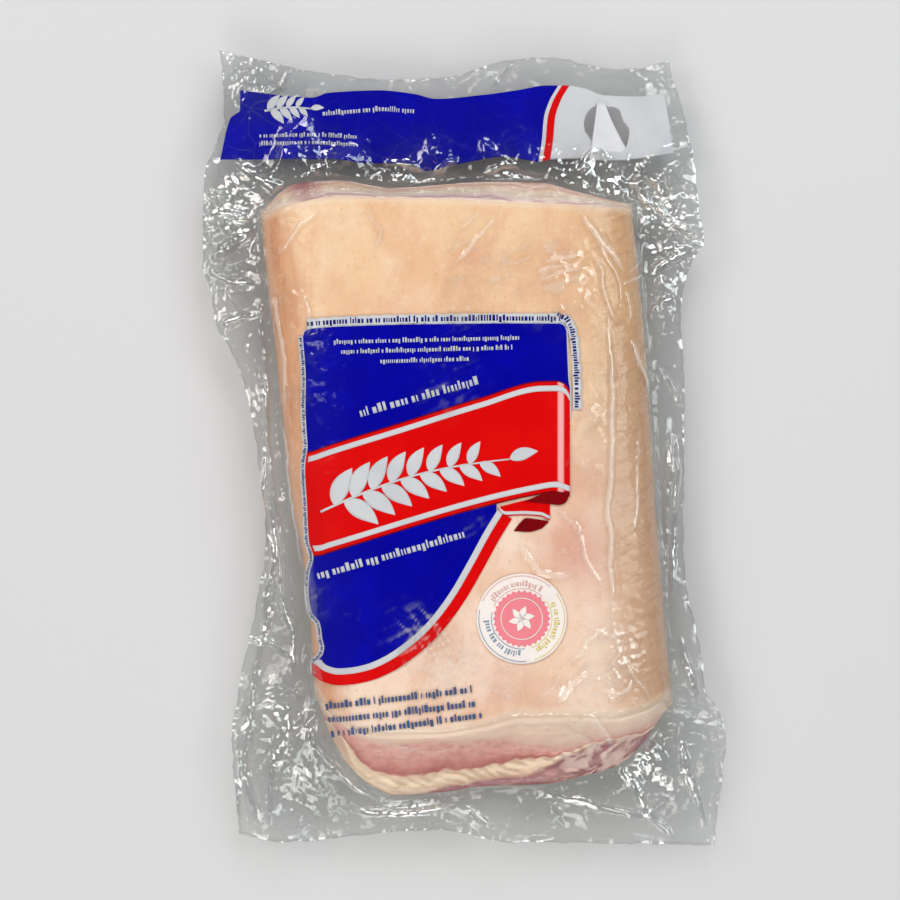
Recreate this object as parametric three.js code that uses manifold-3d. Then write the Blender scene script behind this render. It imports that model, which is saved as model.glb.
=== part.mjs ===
// A rolled pork roast sealed in a clear vacuum pouch. The roll is pressed flat, with square cut ends that
// slope. The pouch's two films are drawn tight over it, and their free margin stands out all round as one
// thin wavy sheet. The part of the margin above the roll is the header, with a round hang hole.
//
// The pouch lies on its back: +X is to the right of its printed front, +Y runs up to the header, and +Z
// comes out of the front. The origin is on the resting plane, under the middle of the pouch's outline.
// Lengths are in millimetres.

import * as THREE from "three";
import { mergeVertices } from "three/addons/utils/BufferGeometryUtils.js";
import Module from "manifold-3d";

// The roll.
const PACK_HEIGHT = 42; // from the resting plane to the middle of the front
const SEAM_HEIGHT = 15; // where the front film leaves the roll's side and meets the back film
const ROUNDNESS = 2.8; // exponent of the roll's cross-section: 2 is an ellipse, and more is squarer
const FLAT_DEPTH = 1.5; // how far the roll's own weight presses its underside flat
const BACK_ROUND = 9; // radius of the roll's underside at its ends
const SWELL = 0.9; // how much the front rises and falls over its length

// The margin.
const FILM_PAIR = 1.2; // the two films with the air left between them
const MARGIN_REACH = 10; // distance from the roll over which the margin's waves grow to full size
const DROOP = 5.5; // how far the margin has sunk at DROOP_SPAN from the roll
const DROOP_SPAN = 60;
const LOWEST_MARGIN = 2.5; // the margin's middle stays this high above the resting plane

// The punched hang hole.
const HANG_HOLE = { x: 58.4, y: 132, radius: 9.1, sides: 32 };

// The pouch's four edges. The sides give x at each y, and the other two give y at each x.
const POUCH_LEFT = [
  [-162, -92.5], [-150, -93], [-124, -95.5], [-98, -92.5], [-73, -87], [-36, -81.5], [-5, -84.5], [26, -90],
  [40, -95.5], [51, -102], [62, -103.5], [75, -107.5], [112, -106.5], [126, -101.5], [137, -98.5], [163, -100.5],
];
const POUCH_RIGHT = [
  [-163, 103], [-140, 105.5], [-122, 107.5], [-107, 104.5], [-100, 99], [-85, 97.5], [-55, 91], [-24, 90],
  [24, 90.5], [58, 89], [76, 93], [85, 98.5], [92, 97.5], [112, 95], [137, 90.5], [160, 83.5],
];
const POUCH_BOTTOM = [
  [-94, -158], [-76, -162], [-52, -160.5], [-30, -158], [-10, -157], [20, -162], [60, -162.5], [103, -163.5],
];
const POUCH_TOP = [
  [-100.5, 163.5], [-82, 159], [-60, 154.5], [-30, 151.5], [-5, 153], [14, 158.5], [34, 160.5], [56, 156.5],
  [70, 155.5], [84, 160],
];

// The roll's long sides, x at each y.
const ROLL_LEFT = [[-105, -62], [-54, -65], [-21, -68.5], [12, -73.5], [48, -78.5], [77, -82.5], [97, -84.5]];
const ROLL_RIGHT = [[-108, 87], [-83, 84.5], [-54, 82], [-21, 79.5], [40, 75.5], [73, 72.5], [98, 70]];

// The roll's ends, y at each x. The rind is cut at one curve, and the cut face slopes down to its foot.
// Past the roll's sides these curves only guide the rows of the mesh through the margin.
const RIND_BOTTOM = [
  [-108, -112], [-62, -98], [-55, -107], [-46, -112.5], [-34, -115], [-14, -115], [8, -112], [24, -108],
  [44, -108], [60, -109], [74, -106], [86, -100.5], [108, -112],
];
const FOOT_BOTTOM = [
  [-108, -130], [-62, -102.5], [-55, -118], [-48, -130], [-38, -139], [-28, -143], [-10, -142], [8, -139.5],
  [34, -138.5], [48, -135.5], [63, -131], [73, -122.5], [86, -106.5], [108, -132],
];
const RIND_TOP = [[-108, 93], [-84.5, 95], [-68, 100], [-50, 102.5], [-14, 102], [16, 100.5], [70, 98], [100, 88]];
const FOOT_TOP = [
  [-108, 112], [-84.5, 98], [-75, 106], [-70, 109], [-52, 110.5], [-30, 107.5], [12, 110], [32, 109.5], [48, 105.5],
  [70, 101], [100, 104],
];

// Long waves of the margin: height, length along x, length along y (0 for none) and phase in turns.
const WAVES = [
  [1.5, 74, 0, 0.1],
  [1.3, 0, 58, 0.35],
  [1.1, 46, 61, 0.6],
  [0.9, -33, 44, 0.2],
  [0.7, 27, -31, 0.8],
];

// The folds that stand up in the films: two ends, width of the foot and height of the ridge.
const FOLDS = [
  { from: [98, 86], to: [77, 70], width: 7, height: 3.2 },
  { from: [98, 86], to: [76, 92], width: 6, height: 2.4 },
  { from: [90, 60], to: [78, 44], width: 6, height: 2.2 },
  { from: [-107, 76], to: [-83, 92], width: 7, height: 3 },
  { from: [-102, 51], to: [-80, 59], width: 6, height: 2.6 },
  { from: [-92, 20], to: [-72, -60], width: 8, height: 2.4 },
  { from: [88, -30], to: [92, -92], width: 7, height: 2.6 },
  { from: [56, -118], to: [97, -160], width: 6, height: 3 },
  { from: [30, -141], to: [72, -152], width: 8, height: 2.6 },
  { from: [-68, -106], to: [-76, -156], width: 7, height: 2.8 },
  { from: [-50, -147], to: [-10, -150], width: 7, height: 2.6 },
  { from: [50, 112], to: [56, 124], width: 9, height: 3.4 },
  { from: [-35, 113], to: [-22, 116], width: 8, height: 2.8 },
  { from: [8, 114], to: [22, 116], width: 8, height: 2.6 },
  { from: [55, 118], to: [56, 146], width: 9, height: 1.4 },
  { from: [-96, 128], to: [-70, 104], width: 9, height: 2.2 },
];

// Mesh cells across the pouch (left margin, roll, right margin) and along it (bottom margin, bottom cut
// face, rind, top cut face, header).
const CELLS_ACROSS = [8, 24, 8];
const CELLS_ALONG = [8, 7, 25, 4, 13];

const clamp01 = (t) => Math.min(Math.max(t, 0), 1);
const smooth = (t) => clamp01(t) ** 2 * (3 - 2 * clamp01(t));

// The curve through the given [t, value] points as a function of t. It is a cubic between neighbours, and
// it is level at a point where the values turn, so it never overshoots. Outside the points it is constant.
function through(points) {
  const slope = points.slice(1).map(([t, v], i) => (v - points[i][1]) / (t - points[i][0]));
  const tangent = points.map((_, i) => {
    const before = slope[i - 1] ?? slope[0];
    const after = slope[i] ?? slope[i - 1];
    return before * after > 0 ? (2 * before * after) / (before + after) : 0;
  });
  return (t) => {
    const last = points.length - 1;
    if (t <= points[0][0]) return points[0][1];
    if (t >= points[last][0]) return points[last][1];
    const i = points.findIndex(([next]) => next > t) - 1;
    const [t0, v0] = points[i];
    const [t1, v1] = points[i + 1];
    const span = t1 - t0;
    const k = (t - t0) / span;
    const bend = k * (1 - k) * span * ((1 - k) * (tangent[i] - slope[i]) - k * (tangent[i + 1] - slope[i]));
    return v0 + (v1 - v0) * k + bend;
  };
}

const pouchLeft = through(POUCH_LEFT);
const pouchRight = through(POUCH_RIGHT);
const pouchBottom = through(POUCH_BOTTOM);
const pouchTop = through(POUCH_TOP);
const rollLeft = through(ROLL_LEFT);
const rollRight = through(ROLL_RIGHT);
const rindBottom = through(RIND_BOTTOM);
const footBottom = through(FOOT_BOTTOM);
const rindTop = through(RIND_TOP);
const footTop = through(FOOT_TOP);

// Where (x, y) lies on the roll: s runs from 0 on its middle line to 1 at its sides, and beside is the
// distance past the outline of the roll, or 0 on it.
function onRoll(x, y) {
  const left = rollLeft(y);
  const right = rollRight(y);
  const held = Math.min(Math.max(x, left), right);
  const beside = Math.hypot(x - held, Math.max(footBottom(held) - y, y - footTop(held), 0));
  return { s: Math.min(Math.abs((2 * (x - left)) / (right - left) - 1), 1), held, beside };
}

// The roll's two faces as shares of their full height: a superellipse across the roll. The front face
// slopes down straight from the cut rind to the foot at each end, and the back face is rounded there.
function rollShares(x, y) {
  const { s, held } = onRoll(x, y);
  const across = (1 - s ** ROUNDNESS) ** (1 / ROUNDNESS);
  const fromBottom = y - footBottom(held);
  const fromTop = footTop(held) - y;
  const bottomSlope = clamp01(fromBottom / (rindBottom(held) - footBottom(held)));
  const topSlope = clamp01(fromTop / (footTop(held) - rindTop(held)));
  const rounded = (distance) => Math.sqrt(1 - (1 - clamp01(distance / BACK_ROUND)) ** 2);
  return {
    front: across * bottomSlope * topSlope,
    back: across * rounded(fromBottom) * rounded(fromTop),
  };
}

// The height of the ridges of all folds at (x, y). A ridge has straight sides and tapers to both ends.
function foldHeight(x, y) {
  let height = 0;
  for (const fold of FOLDS) {
    const [x0, y0] = fold.from;
    const along = [fold.to[0] - x0, fold.to[1] - y0];
    const length = Math.hypot(...along);
    const t = ((x - x0) * along[0] + (y - y0) * along[1]) / length ** 2;
    const aside = Math.abs((x - x0) * along[1] - (y - y0) * along[0]) / length;
    const taper = smooth((t + 0.15) / 0.3) * smooth((1.15 - t) / 0.3);
    height += fold.height * taper * clamp01(1 - (2 * aside) / fold.width);
  }
  return height;
}

// The height of the margin's middle: it leaves the roll at the seam, sinks away from it, and waves.
function marginHeight(x, y) {
  const { beside } = onRoll(x, y);
  let wave = foldHeight(x, y);
  for (const [height, lengthX, lengthY, phase] of WAVES) {
    const turns = (lengthX ? x / lengthX : 0) + (lengthY ? y / lengthY : 0) + phase;
    wave += height * Math.sin(2 * Math.PI * turns);
  }
  const sunk = SEAM_HEIGHT - DROOP * smooth(beside / DROOP_SPAN);
  return Math.max(sunk + wave * smooth(beside / MARGIN_REACH), LOWEST_MARGIN);
}

// The front and back films' heights at (x, y). The underside is pressed flat on the resting plane.
function filmHeights(x, y) {
  const shares = rollShares(x, y);
  const middle = marginHeight(x, y);
  const half = FILM_PAIR / 2;
  const swell = SWELL * Math.sin(y / 31 + 0.6) * Math.cos(x / 38);
  return {
    front: middle + half + (PACK_HEIGHT - SEAM_HEIGHT - half + swell) * shares.front,
    back: Math.max(middle - half - (SEAM_HEIGHT - half + FLAT_DEPTH) * shares.back, 0),
  };
}

// The places of the mesh's lines: whole numbers are the curves, and the cells lie evenly between them,
// drawn towards the sides where a strip is the roll itself.
function lines(cells, drawnStrip) {
  const places = [0];
  cells.forEach((count, strip) => {
    for (let i = 1; i <= count; i++) {
      const even = i / count;
      const drawn = 0.5 - 0.5 * Math.cos(Math.PI * even);
      places.push(strip + (strip === drawnStrip ? (even + drawn) / 2 : even));
    }
  });
  return places;
}

// The value at place t of a run of curves' values, straight between neighbours.
function between(values, t) {
  const strip = Math.min(Math.floor(t), values.length - 2);
  return values[strip] + (values[strip + 1] - values[strip]) * (t - strip);
}

// The point where mesh line across meets mesh line along. Each family of curves depends on the other's
// coordinate, so the point is found by turns.
function meshPoint(across, along) {
  const turns = 12;
  let x = 0;
  let y = 0;
  for (let i = 0; i < turns; i++) {
    y = between([pouchBottom, footBottom, rindBottom, rindTop, footTop, pouchTop].map((f) => f(x)), along);
    x = between([pouchLeft, rollLeft, rollRight, pouchRight].map((f) => f(y)), across);
  }
  return [x, y];
}

// The closed surface of the filled pouch: both films over the same lines, joined round the rim.
function pouchGeometry() {
  const across = lines(CELLS_ACROSS, 1);
  const along = lines(CELLS_ALONG);
  const columns = across.length;
  const rows = along.length;
  const back = columns * rows; // the back film's vertices follow the front film's
  const front = [];
  const rear = [];
  for (const v of along) {
    for (const u of across) {
      const [x, y] = meshPoint(u, v);
      const heights = filmHeights(x, y);
      front.push(x, y, heights.front);
      rear.push(x, y, heights.back);
    }
  }
  const faces = [];
  const quad = (a, b, c, d) => faces.push(a, b, c, a, c, d);
  for (let j = 0; j + 1 < rows; j++) {
    for (let i = 0; i + 1 < columns; i++) {
      const a = j * columns + i;
      const [b, c, d] = [a + 1, a + columns + 1, a + columns];
      quad(a, b, c, d);
      faces.push(a + back, c + back, b + back, a + back, d + back, c + back);
    }
  }
  const rim = [
    ...Array.from({ length: columns - 1 }, (_, i) => i),
    ...Array.from({ length: rows - 1 }, (_, j) => j * columns + columns - 1),
    ...Array.from({ length: columns - 1 }, (_, i) => rows * columns - 1 - i),
    ...Array.from({ length: rows - 1 }, (_, j) => (rows - 1 - j) * columns),
  ];
  rim.forEach((a, i) => {
    const b = rim[(i + 1) % rim.length];
    quad(a, a + back, b + back, b);
  });
  const geometry = new THREE.BufferGeometry();
  geometry.setAttribute("position", new THREE.Float32BufferAttribute([...front, ...rear], 3));
  geometry.setIndex(faces);
  return geometry;
}

// A closed geometry as a solid that can be cut.
function solidOf(wasm, geometry) {
  const bare = geometry.clone();
  bare.deleteAttribute("normal");
  bare.deleteAttribute("uv");
  const merged = mergeVertices(bare, 1e-4);
  const vertProperties = new Float32Array(merged.attributes.position.array);
  const triVerts = new Uint32Array(merged.index.array);
  return new wasm.Manifold(new wasm.Mesh({ numProp: 3, vertProperties, triVerts }));
}

// A solid's surface as a geometry.
function geometryOf(solid) {
  const mesh = solid.getMesh();
  const geometry = new THREE.BufferGeometry();
  geometry.setAttribute("position", new THREE.BufferAttribute(mesh.vertProperties, 3));
  geometry.setIndex(new THREE.BufferAttribute(mesh.triVerts, 1));
  geometry.computeVertexNormals();
  return geometry;
}

const wasm = await Module();
wasm.setup();

// The hang hole's punch stands upright through the header, longer than the header is thick.
function hangHolePunch() {
  const { x, y, radius, sides } = HANG_HOLE;
  const punch = new THREE.CylinderGeometry(radius, radius, 2 * PACK_HEIGHT, sides);
  return punch.rotateX(Math.PI / 2).translate(x, y, 0);
}

const pouch = solidOf(wasm, pouchGeometry()).subtract(solidOf(wasm, hangHolePunch()));

const pack = new THREE.Mesh(
  geometryOf(pouch),
  new THREE.MeshStandardMaterial({ color: 0xe3bf9c, roughness: 0.3, metalness: 0 }),
);
pack.name = "vacuum_pouch";

const porchetta = new THREE.Group();
porchetta.add(pack);

export default porchetta;
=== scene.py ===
import math
import bpy
import numpy as np
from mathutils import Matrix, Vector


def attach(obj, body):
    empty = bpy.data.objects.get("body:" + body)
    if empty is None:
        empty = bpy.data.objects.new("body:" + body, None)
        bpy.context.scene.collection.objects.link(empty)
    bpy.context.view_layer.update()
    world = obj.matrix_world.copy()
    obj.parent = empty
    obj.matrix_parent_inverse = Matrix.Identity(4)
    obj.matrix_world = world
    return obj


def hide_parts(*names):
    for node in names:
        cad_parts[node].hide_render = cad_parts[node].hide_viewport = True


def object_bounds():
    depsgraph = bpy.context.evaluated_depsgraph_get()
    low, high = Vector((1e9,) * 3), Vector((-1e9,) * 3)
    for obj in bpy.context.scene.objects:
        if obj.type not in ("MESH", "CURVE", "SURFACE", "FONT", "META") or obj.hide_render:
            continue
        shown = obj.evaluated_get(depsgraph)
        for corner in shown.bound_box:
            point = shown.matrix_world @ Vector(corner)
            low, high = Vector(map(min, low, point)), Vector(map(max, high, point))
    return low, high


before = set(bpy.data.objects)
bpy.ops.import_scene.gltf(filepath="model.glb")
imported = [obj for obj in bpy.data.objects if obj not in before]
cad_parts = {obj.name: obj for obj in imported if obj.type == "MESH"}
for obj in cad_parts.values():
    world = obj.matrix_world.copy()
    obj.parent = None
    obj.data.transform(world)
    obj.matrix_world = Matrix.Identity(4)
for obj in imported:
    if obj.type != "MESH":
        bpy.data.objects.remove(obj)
cad_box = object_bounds()

# --------------------------------------------------------------------------------------------------
# The rind. The roast is a slab of raw pork folded on itself with its skin outside and pressed flat, so the
# rind wraps its front, sides and back, and both ends are cut square and slope outwards. The skin is pale
# tan, smooth and damp, with fine pores. Lengths are millimetres until a mesh is made.

SEAM = 15.0  # height of the line where the front and back films meet at the roll's side
SWELL, SWELL_LENGTH, SWELL_WIDTH = 0.9, 31, 38  # the front's long swell: its height, and how far it spreads
FRONT = 1000 * cad_box[1].z - SWELL  # height of the roll's front
ROUNDNESS = 2.8  # power of the superellipse that the roll follows from side to side
FLAT_DEPTH = 1.5  # how far the back would bulge below the table, where it is flat instead
BACK_ROUND = 9.0  # radius of the back's edge at both ends
FILM_GAP = 0.9  # the film stands this far off the meat, with the print between them

# The roll's outlines from the front. Its two sides are [y, x] points. The rind's cut edges and the feet of
# the two cut faces are [x, y] points.
ROLL_LEFT = [
    [-105, -62], [-66, -64.5], [-43, -67.5], [-20, -72], [12, -75.5], [48, -79.2], [77, -82.8], [97, -84.5],
]
ROLL_RIGHT = [[-108, 87], [-83, 84.5], [-54, 82], [-21, 79.5], [40, 75.5], [73, 72.5], [98, 70]]
RIND_BOTTOM = [
    [-108, -112], [-62, -98], [-55, -107], [-46, -112.5], [-34, -115], [-14, -115], [8, -112], [24, -108],
    [44, -108], [60, -109], [74, -106], [86, -100.5], [108, -112],
]
FOOT_BOTTOM = [
    [-108, -130], [-62, -102.5], [-55, -118], [-48, -130], [-38, -139], [-28, -143], [-10, -142],
    [8, -139.5], [34, -138.5], [48, -135.5], [63, -131], [73, -122.5], [86, -106.5], [108, -132],
]
RIND_TOP = [[-108, 93], [-84.5, 95], [-68, 100], [-50, 102.5], [-14, 102], [16, 100.5], [70, 98], [100, 88]]
FOOT_TOP = [
    [-108, 112], [-84.5, 98], [-75, 106], [-70, 109], [-52, 110.5], [-30, 107.5], [12, 110], [32, 109.5],
    [48, 105.5], [70, 101], [100, 104],
]


def through(points):
    """The curve through [t, value] points: a cubic between neighbours, level where the values turn."""
    t, v = np.array(points, float).T
    slope = np.diff(v) / np.diff(t)
    before, after = np.append(slope[0], slope), np.append(slope, slope[-1])
    same = before * after > 0
    tangent = np.where(same, 2 * before * after / np.where(same, before + after, 1), 0)

    def curve(at):
        at = np.clip(at, t[0], t[-1])
        i = np.clip(np.searchsorted(t, at, side="right") - 1, 0, len(t) - 2)
        span = t[i + 1] - t[i]
        k = (at - t[i]) / span
        lean = (1 - k) * (tangent[i] - slope[i]) - k * (tangent[i + 1] - slope[i])
        return v[i] + (v[i + 1] - v[i]) * k + k * (1 - k) * span * lean

    return curve


roll_left, roll_right = through(ROLL_LEFT), through(ROLL_RIGHT)
rind_bottom, foot_bottom = through(RIND_BOTTOM), through(FOOT_BOTTOM)
rind_top, foot_top = through(RIND_TOP), through(FOOT_TOP)


def smooth(t):
    """0 below 0, 1 above 1, and the cubic 3t^2 - 2t^3 between."""
    t = np.clip(t, 0, 1)
    return t * t * (3 - 2 * t)


def between(curves, t):
    """The value at place t in a run of arrays, straight between neighbours."""
    out = curves[0] + 0 * t
    for i, (a, b) in enumerate(zip(curves, curves[1:])):
        out = np.where(t > i, a + (b - a) * (t - i), out)
    return out


def crossings(columns, rows, u, v):
    """Where line u of a family of columns x(y) meets line v of a family of rows y(x), found by turns."""
    x = np.zeros((len(v), len(u)))
    y = np.zeros((len(v), len(u)))
    for _ in range(14):
        y = between([row(x) for row in rows], v[:, None] + 0 * x)
        x = between([column(y) for column in columns], u[None, :] + 0 * y)
    return x, y


def lines(*strips):
    """Places of grid lines: strip number i is (cells, draw), and draw pulls them towards its two sides."""
    found = [np.zeros(1)]
    for i, (cells, draw) in enumerate(strips):
        t = np.arange(1, cells + 1) / cells
        found.append(i + (1 - draw) * t + draw * (0.5 - 0.5 * np.cos(np.pi * t)))
    return np.concatenate(found)


def roll_form(x, y, inset=0.0):
    """Heights of the roll's front and back, inset from the film. Across it is the superellipse
    (1 - s^n)^(1/n) of s, the distance from its middle line; the ends slope down straight from the
    rind's edge to the foot on the front, and are rounded on the back."""
    left, right = roll_left(y) + inset, roll_right(y) - inset
    s = np.minimum(np.abs(2 * (x - left) / (right - left) - 1), 1)
    across = (1 - s**ROUNDNESS) ** (1 / ROUNDNESS)
    held = np.clip(x, left, right)
    foot, top = foot_bottom(held) + inset, foot_top(held) - inset
    slope = np.clip((y - foot) / (rind_bottom(held) + inset - foot), 0, 1)
    slope = slope * np.clip((top - y) / (top - rind_top(held) + inset), 0, 1)
    ends = 1.0
    for distance in (y - foot, top - y):
        ends = ends * np.sqrt(1 - (1 - np.clip(distance / BACK_ROUND, 0, 1)) ** 2)
    swell = SWELL * np.sin(y / SWELL_LENGTH + 0.6) * np.cos(x / SWELL_WIDTH)
    front = SEAM + (FRONT - SEAM - inset + swell) * across * slope
    back = np.maximum(SEAM - (SEAM + FLAT_DEPTH - inset) * across * ends, inset)
    return front, back


def noise(x, y, cell, seed):
    """Smooth noise from -1 to 1: a random height at each corner of square cells, blended by a cubic."""
    table = np.random.default_rng(seed).uniform(-1, 1, (256, 256))
    i, j = np.floor(x / cell).astype(int), np.floor(y / cell).astype(int)
    wx, wy = smooth(x / cell - i), smooth(y / cell - j)
    low = table[i % 256, j % 256] * (1 - wx) + table[(i + 1) % 256, j % 256] * wx
    high = table[i % 256, (j + 1) % 256] * (1 - wx) + table[(i + 1) % 256, (j + 1) % 256] * wx
    return low * (1 - wy) + high * wy


def creased(x, y, cell, seed):
    """Crumple from -1 to 1: random heights at the corners of a net of triangles, and flat between."""
    table = np.random.default_rng(seed).uniform(-1, 1, (256, 256))
    s, t = (x - 0.577 * y) / cell, 1.155 * y / cell
    i, j = np.floor(s).astype(int), np.floor(t).astype(int)
    a, b = s - i, t - j
    i, j, right, up = i % 256, j % 256, (i + 1) % 256, (j + 1) % 256
    near = table[i, j] * (1 - a - b) + table[right, j] * a + table[i, up] * b
    far = table[right, up] * (a + b - 1) + table[right, j] * (1 - b) + table[i, up] * (1 - a)
    return np.where(a + b < 1, near, far)


def new_piece(name, corners, faces, flat=0, **attributes):
    """An object of a mesh with corners in millimetres and a number per corner for each attribute. Its
    last faces, as many as flat says, are shaded flat."""
    mesh = bpy.data.meshes.new(name)
    mesh.from_pydata((corners * 0.001).tolist(), [], faces.tolist())
    for key, values in attributes.items():
        mesh.attributes.new(key, "FLOAT", "POINT").data.foreach_set("value", np.ravel(values))
    mesh.polygons.foreach_set("use_smooth", np.arange(len(faces)) < len(faces) - flat)
    mesh.update()
    piece = bpy.data.objects.new(name, mesh)
    bpy.context.scene.collection.objects.link(piece)
    return piece


def quads(rows, columns):
    """The faces of a grid of corners, counted along its rows, that turn left round its upper side."""
    a = np.arange((rows - 1) * columns).reshape(rows - 1, columns)[:, :-1].ravel()
    return np.stack([a, a + 1, a + columns + 1, a + columns], 1)


def shell(name, upper, lower, faces, **attributes):
    """A closed piece: a sheet of faces over the upper corners, the same over the lower corners, and a
    wall between them along every open edge."""
    count = len(upper)
    edges = faces[:, [0, 1, 1, 2, 2, 3, 3, 0]].reshape(-1, 2)
    one, other = np.sort(edges, 1).T
    first, uses = np.unique(one * count + other, return_index=True, return_counts=True)[1:]
    a, b = edges[first[uses == 1]].T
    wall = np.stack([a, a + count, b + count, b], 1)
    closed = np.concatenate([faces, faces[:, ::-1] + count, wall])
    both = {key: np.tile(np.ravel(values), 2) for key, values in attributes.items()}
    return new_piece(name, np.concatenate([upper, lower]), closed, len(wall), **both)


def places(x, y, z):
    """One row of x, y and z for each corner."""
    return np.stack([np.ravel(x), np.ravel(y), np.ravel(z)], 1)


def srgb(red, green, blue):
    """A screen colour, 0 to 255, as the linear colour that shaders use."""
    c = np.array([red, green, blue]) / 255
    return (*np.where(c <= 0.04045, c / 12.92, ((c + 0.055) / 1.055) ** 2.4).tolist(), 1.0)


class Signal:
    """One output of a material's nodes; arithmetic on it adds the Math nodes that do the same."""

    def __init__(self, finish, socket):
        self.finish = finish
        self.socket = socket

    def math(self, operation, *values):
        return self.finish.node("ShaderNodeMath", {"operation": operation}, dict(enumerate(values)))

    def __add__(self, other):
        return self.math("ADD", self, other)

    def __sub__(self, other):
        return self.math("SUBTRACT", self, other)

    def __rsub__(self, other):
        return self.math("SUBTRACT", other, self)

    def __mul__(self, other):
        return self.math("MULTIPLY", self, other)

    __radd__ = __add__
    __rmul__ = __mul__

    def size(self):
        """The same without its sign."""
        return self.math("ABSOLUTE", self)

    def clip(self):
        """The same, held between 0 and 1."""
        return self.finish.node("ShaderNodeClamp", {}, {"Value": self})

    def step(self, low, high):
        """0 below low and 1 above high, or the other way round, with a smooth rise between."""
        limits = {"Value": self, "From Min": low, "From Max": high}
        return self.finish.node("ShaderNodeMapRange", {"interpolation_type": "SMOOTHSTEP"}, limits)


class Finish:
    """A material under construction."""

    def __init__(self, name):
        self.material = bpy.data.materials.new(name)
        self.material.use_nodes = True
        self.nodes = self.material.node_tree.nodes
        self.links = self.material.node_tree.links
        self.nodes.clear()

    def node(self, kind, settings, values, out=0):
        """Adds a node: its settings first (stops are a colour ramp's), then its sockets' values or links."""
        made = self.nodes.new(kind)
        for key, value in settings.items():
            if key == "stops":
                for stop in value[2:]:
                    made.color_ramp.elements.new(stop[0])
                for element, (place, colour) in zip(made.color_ramp.elements, value):
                    element.position, element.color = place, colour
            else:
                setattr(made, key, value)
        for key, value in values.items():
            if isinstance(value, Signal):
                self.links.new(value.socket, made.inputs[key])
            else:
                made.inputs[key].default_value = value
        return Signal(self, made.outputs[out])

    def place(self):
        """Where the point lies on the piece, in metres."""
        return self.node("ShaderNodeTexCoord", {}, {}, "Object")

    def attribute(self, name):
        """The number that the mesh carries for each corner under this name."""
        return self.node("ShaderNodeAttribute", {"attribute_name": name}, {}, "Fac")

    def stretched(self, vector, lengths, turn=0.0):
        """Places for a texture drawn out to lengths along axes turned left about Z."""
        turned = {"Vector": vector, "Rotation": (0, 0, turn), "Scale": lengths}
        return self.node("ShaderNodeMapping", {"vector_type": "TEXTURE"}, turned)

    def cloud(self, vector, scale, detail=3.0, rough=0.5, twist=0.0, plan="3D"):
        """Cloudy noise from 0 to 1, with scale lumps to the metre."""
        values = {"Vector": vector, "Scale": scale, "Detail": detail}
        values |= {"Roughness": rough, "Distortion": twist}
        return self.node("ShaderNodeTexNoise", {"noise_dimensions": plan}, values)

    def mix(self, share, first, second):
        """The first colour, changed towards the second by share."""
        return self.node("ShaderNodeMix", {"data_type": "RGBA"}, {0: share, 6: first, 7: second}, 2)

    def layered(self, colour, *layers):
        """A colour with others laid over it in turn, each given as its share and its colour."""
        for share, tone in layers:
            colour = self.mix(share, colour, tone)
        return colour

    def spot(self, x, y, radius):
        """1 at a place seen from the front, in metres, and down to 0 at a radius round it."""
        flattened = {0: self.place(), 1: (1.0, 1.0, 0.0)}
        plan = self.node("ShaderNodeVectorMath", {"operation": "MULTIPLY"}, flattened)
        ends = {0: plan, 1: (x, y, 0.0)}
        gap = self.node("ShaderNodeVectorMath", {"operation": "DISTANCE"}, ends, "Value")
        return gap.step(radius, 0.0)

    def bump(self, height, distance, strength=1.0):
        """A normal tilted by the slope of a height, which stands for distance metres where it is 1."""
        values = {"Height": height, "Distance": distance, "Strength": strength}
        return self.node("ShaderNodeBump", {}, values)

    def finished(self, shader):
        """The material, with the shader on its surface."""
        output = self.nodes.new("ShaderNodeOutputMaterial")
        self.links.new(shader.socket, output.inputs["Surface"])
        return self.material


RIND_INSET = FILM_GAP


def shifted(curve, distance):
    """The curve moved by a distance."""
    return lambda t: curve(t) + distance


columns = [shifted(roll_left, RIND_INSET), shifted(roll_right, -RIND_INSET)]
rows = [shifted(foot_bottom, RIND_INSET), shifted(rind_bottom, RIND_INSET)]
rows += [shifted(rind_top, -RIND_INSET), shifted(foot_top, -RIND_INSET)]
x, y = crossings(columns, rows, lines((130, 0.6)), lines((14, 0), (170, 0), (8, 0)))
front, back = roll_form(x, y, RIND_INSET)
edge = np.minimum(y - rind_bottom(x), rind_top(x) - y)
dimples = 0.22 * noise(x, y, 9, 11) + 0.1 * noise(x, y, 3.1, 12)
front = front + dimples * smooth((front - SEAM) / 8) * smooth(edge / 4)
back = np.minimum(back, front - 0.3)
rind = shell(
    "rind", places(x, y, front), places(x, y, back), quads(*x.shape),
    edge=edge, from_left=x - roll_left(y), from_right=roll_right(y) - x,
)

skin = Finish("pork_rind")
at = skin.place()
north = skin.node("ShaderNodeSeparateXYZ", {}, {"Vector": at}, "Y")
height = skin.node("ShaderNodeSeparateXYZ", {}, {"Vector": at}, "Z")
broad = skin.cloud(at, 22.0, 3.0, 0.55)
blotch = skin.cloud(skin.stretched(at, (1.0, 1.7, 1.0)), 60.0, 3.0, 0.62, 0.5)
mottle = skin.cloud(at, 210.0, 3.0, 0.7)
grain = skin.cloud(at, 620.0, 2.0, 0.6)
pore_places = skin.stretched(at, (1.0, 1.7, 1.0), 0.2)
pores = skin.node("ShaderNodeTexVoronoi", {}, {"Vector": pore_places, "Scale": 360.0})
streaks = skin.cloud(skin.stretched(at, (8.0, 1.0, 3.0), 0.45), 520.0, 3.0, 0.6)
hairs = skin.cloud(skin.stretched(at, (1.0, 7.0, 1.0)), 240.0, 2.0, 0.6)
# Masks of the browner sides: the skin's own tan together with painted shade where the roll turns down.
right_side_tan_and_shade = (skin.attribute("from_right") + (blotch - 0.5) * 9.0).step(33.0, 10.0)
left_side_tan_and_shade = (skin.attribute("from_left") + (blotch - 0.5) * 8.0).step(19.0, 7.0)
# The right side's colour: its own tan with painted shade in it, lighter and more orange high up.
right_tan_and_shade = skin.mix(north.step(0.03, 0.075), srgb(198, 154, 120), srgb(216, 168, 124))
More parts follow.
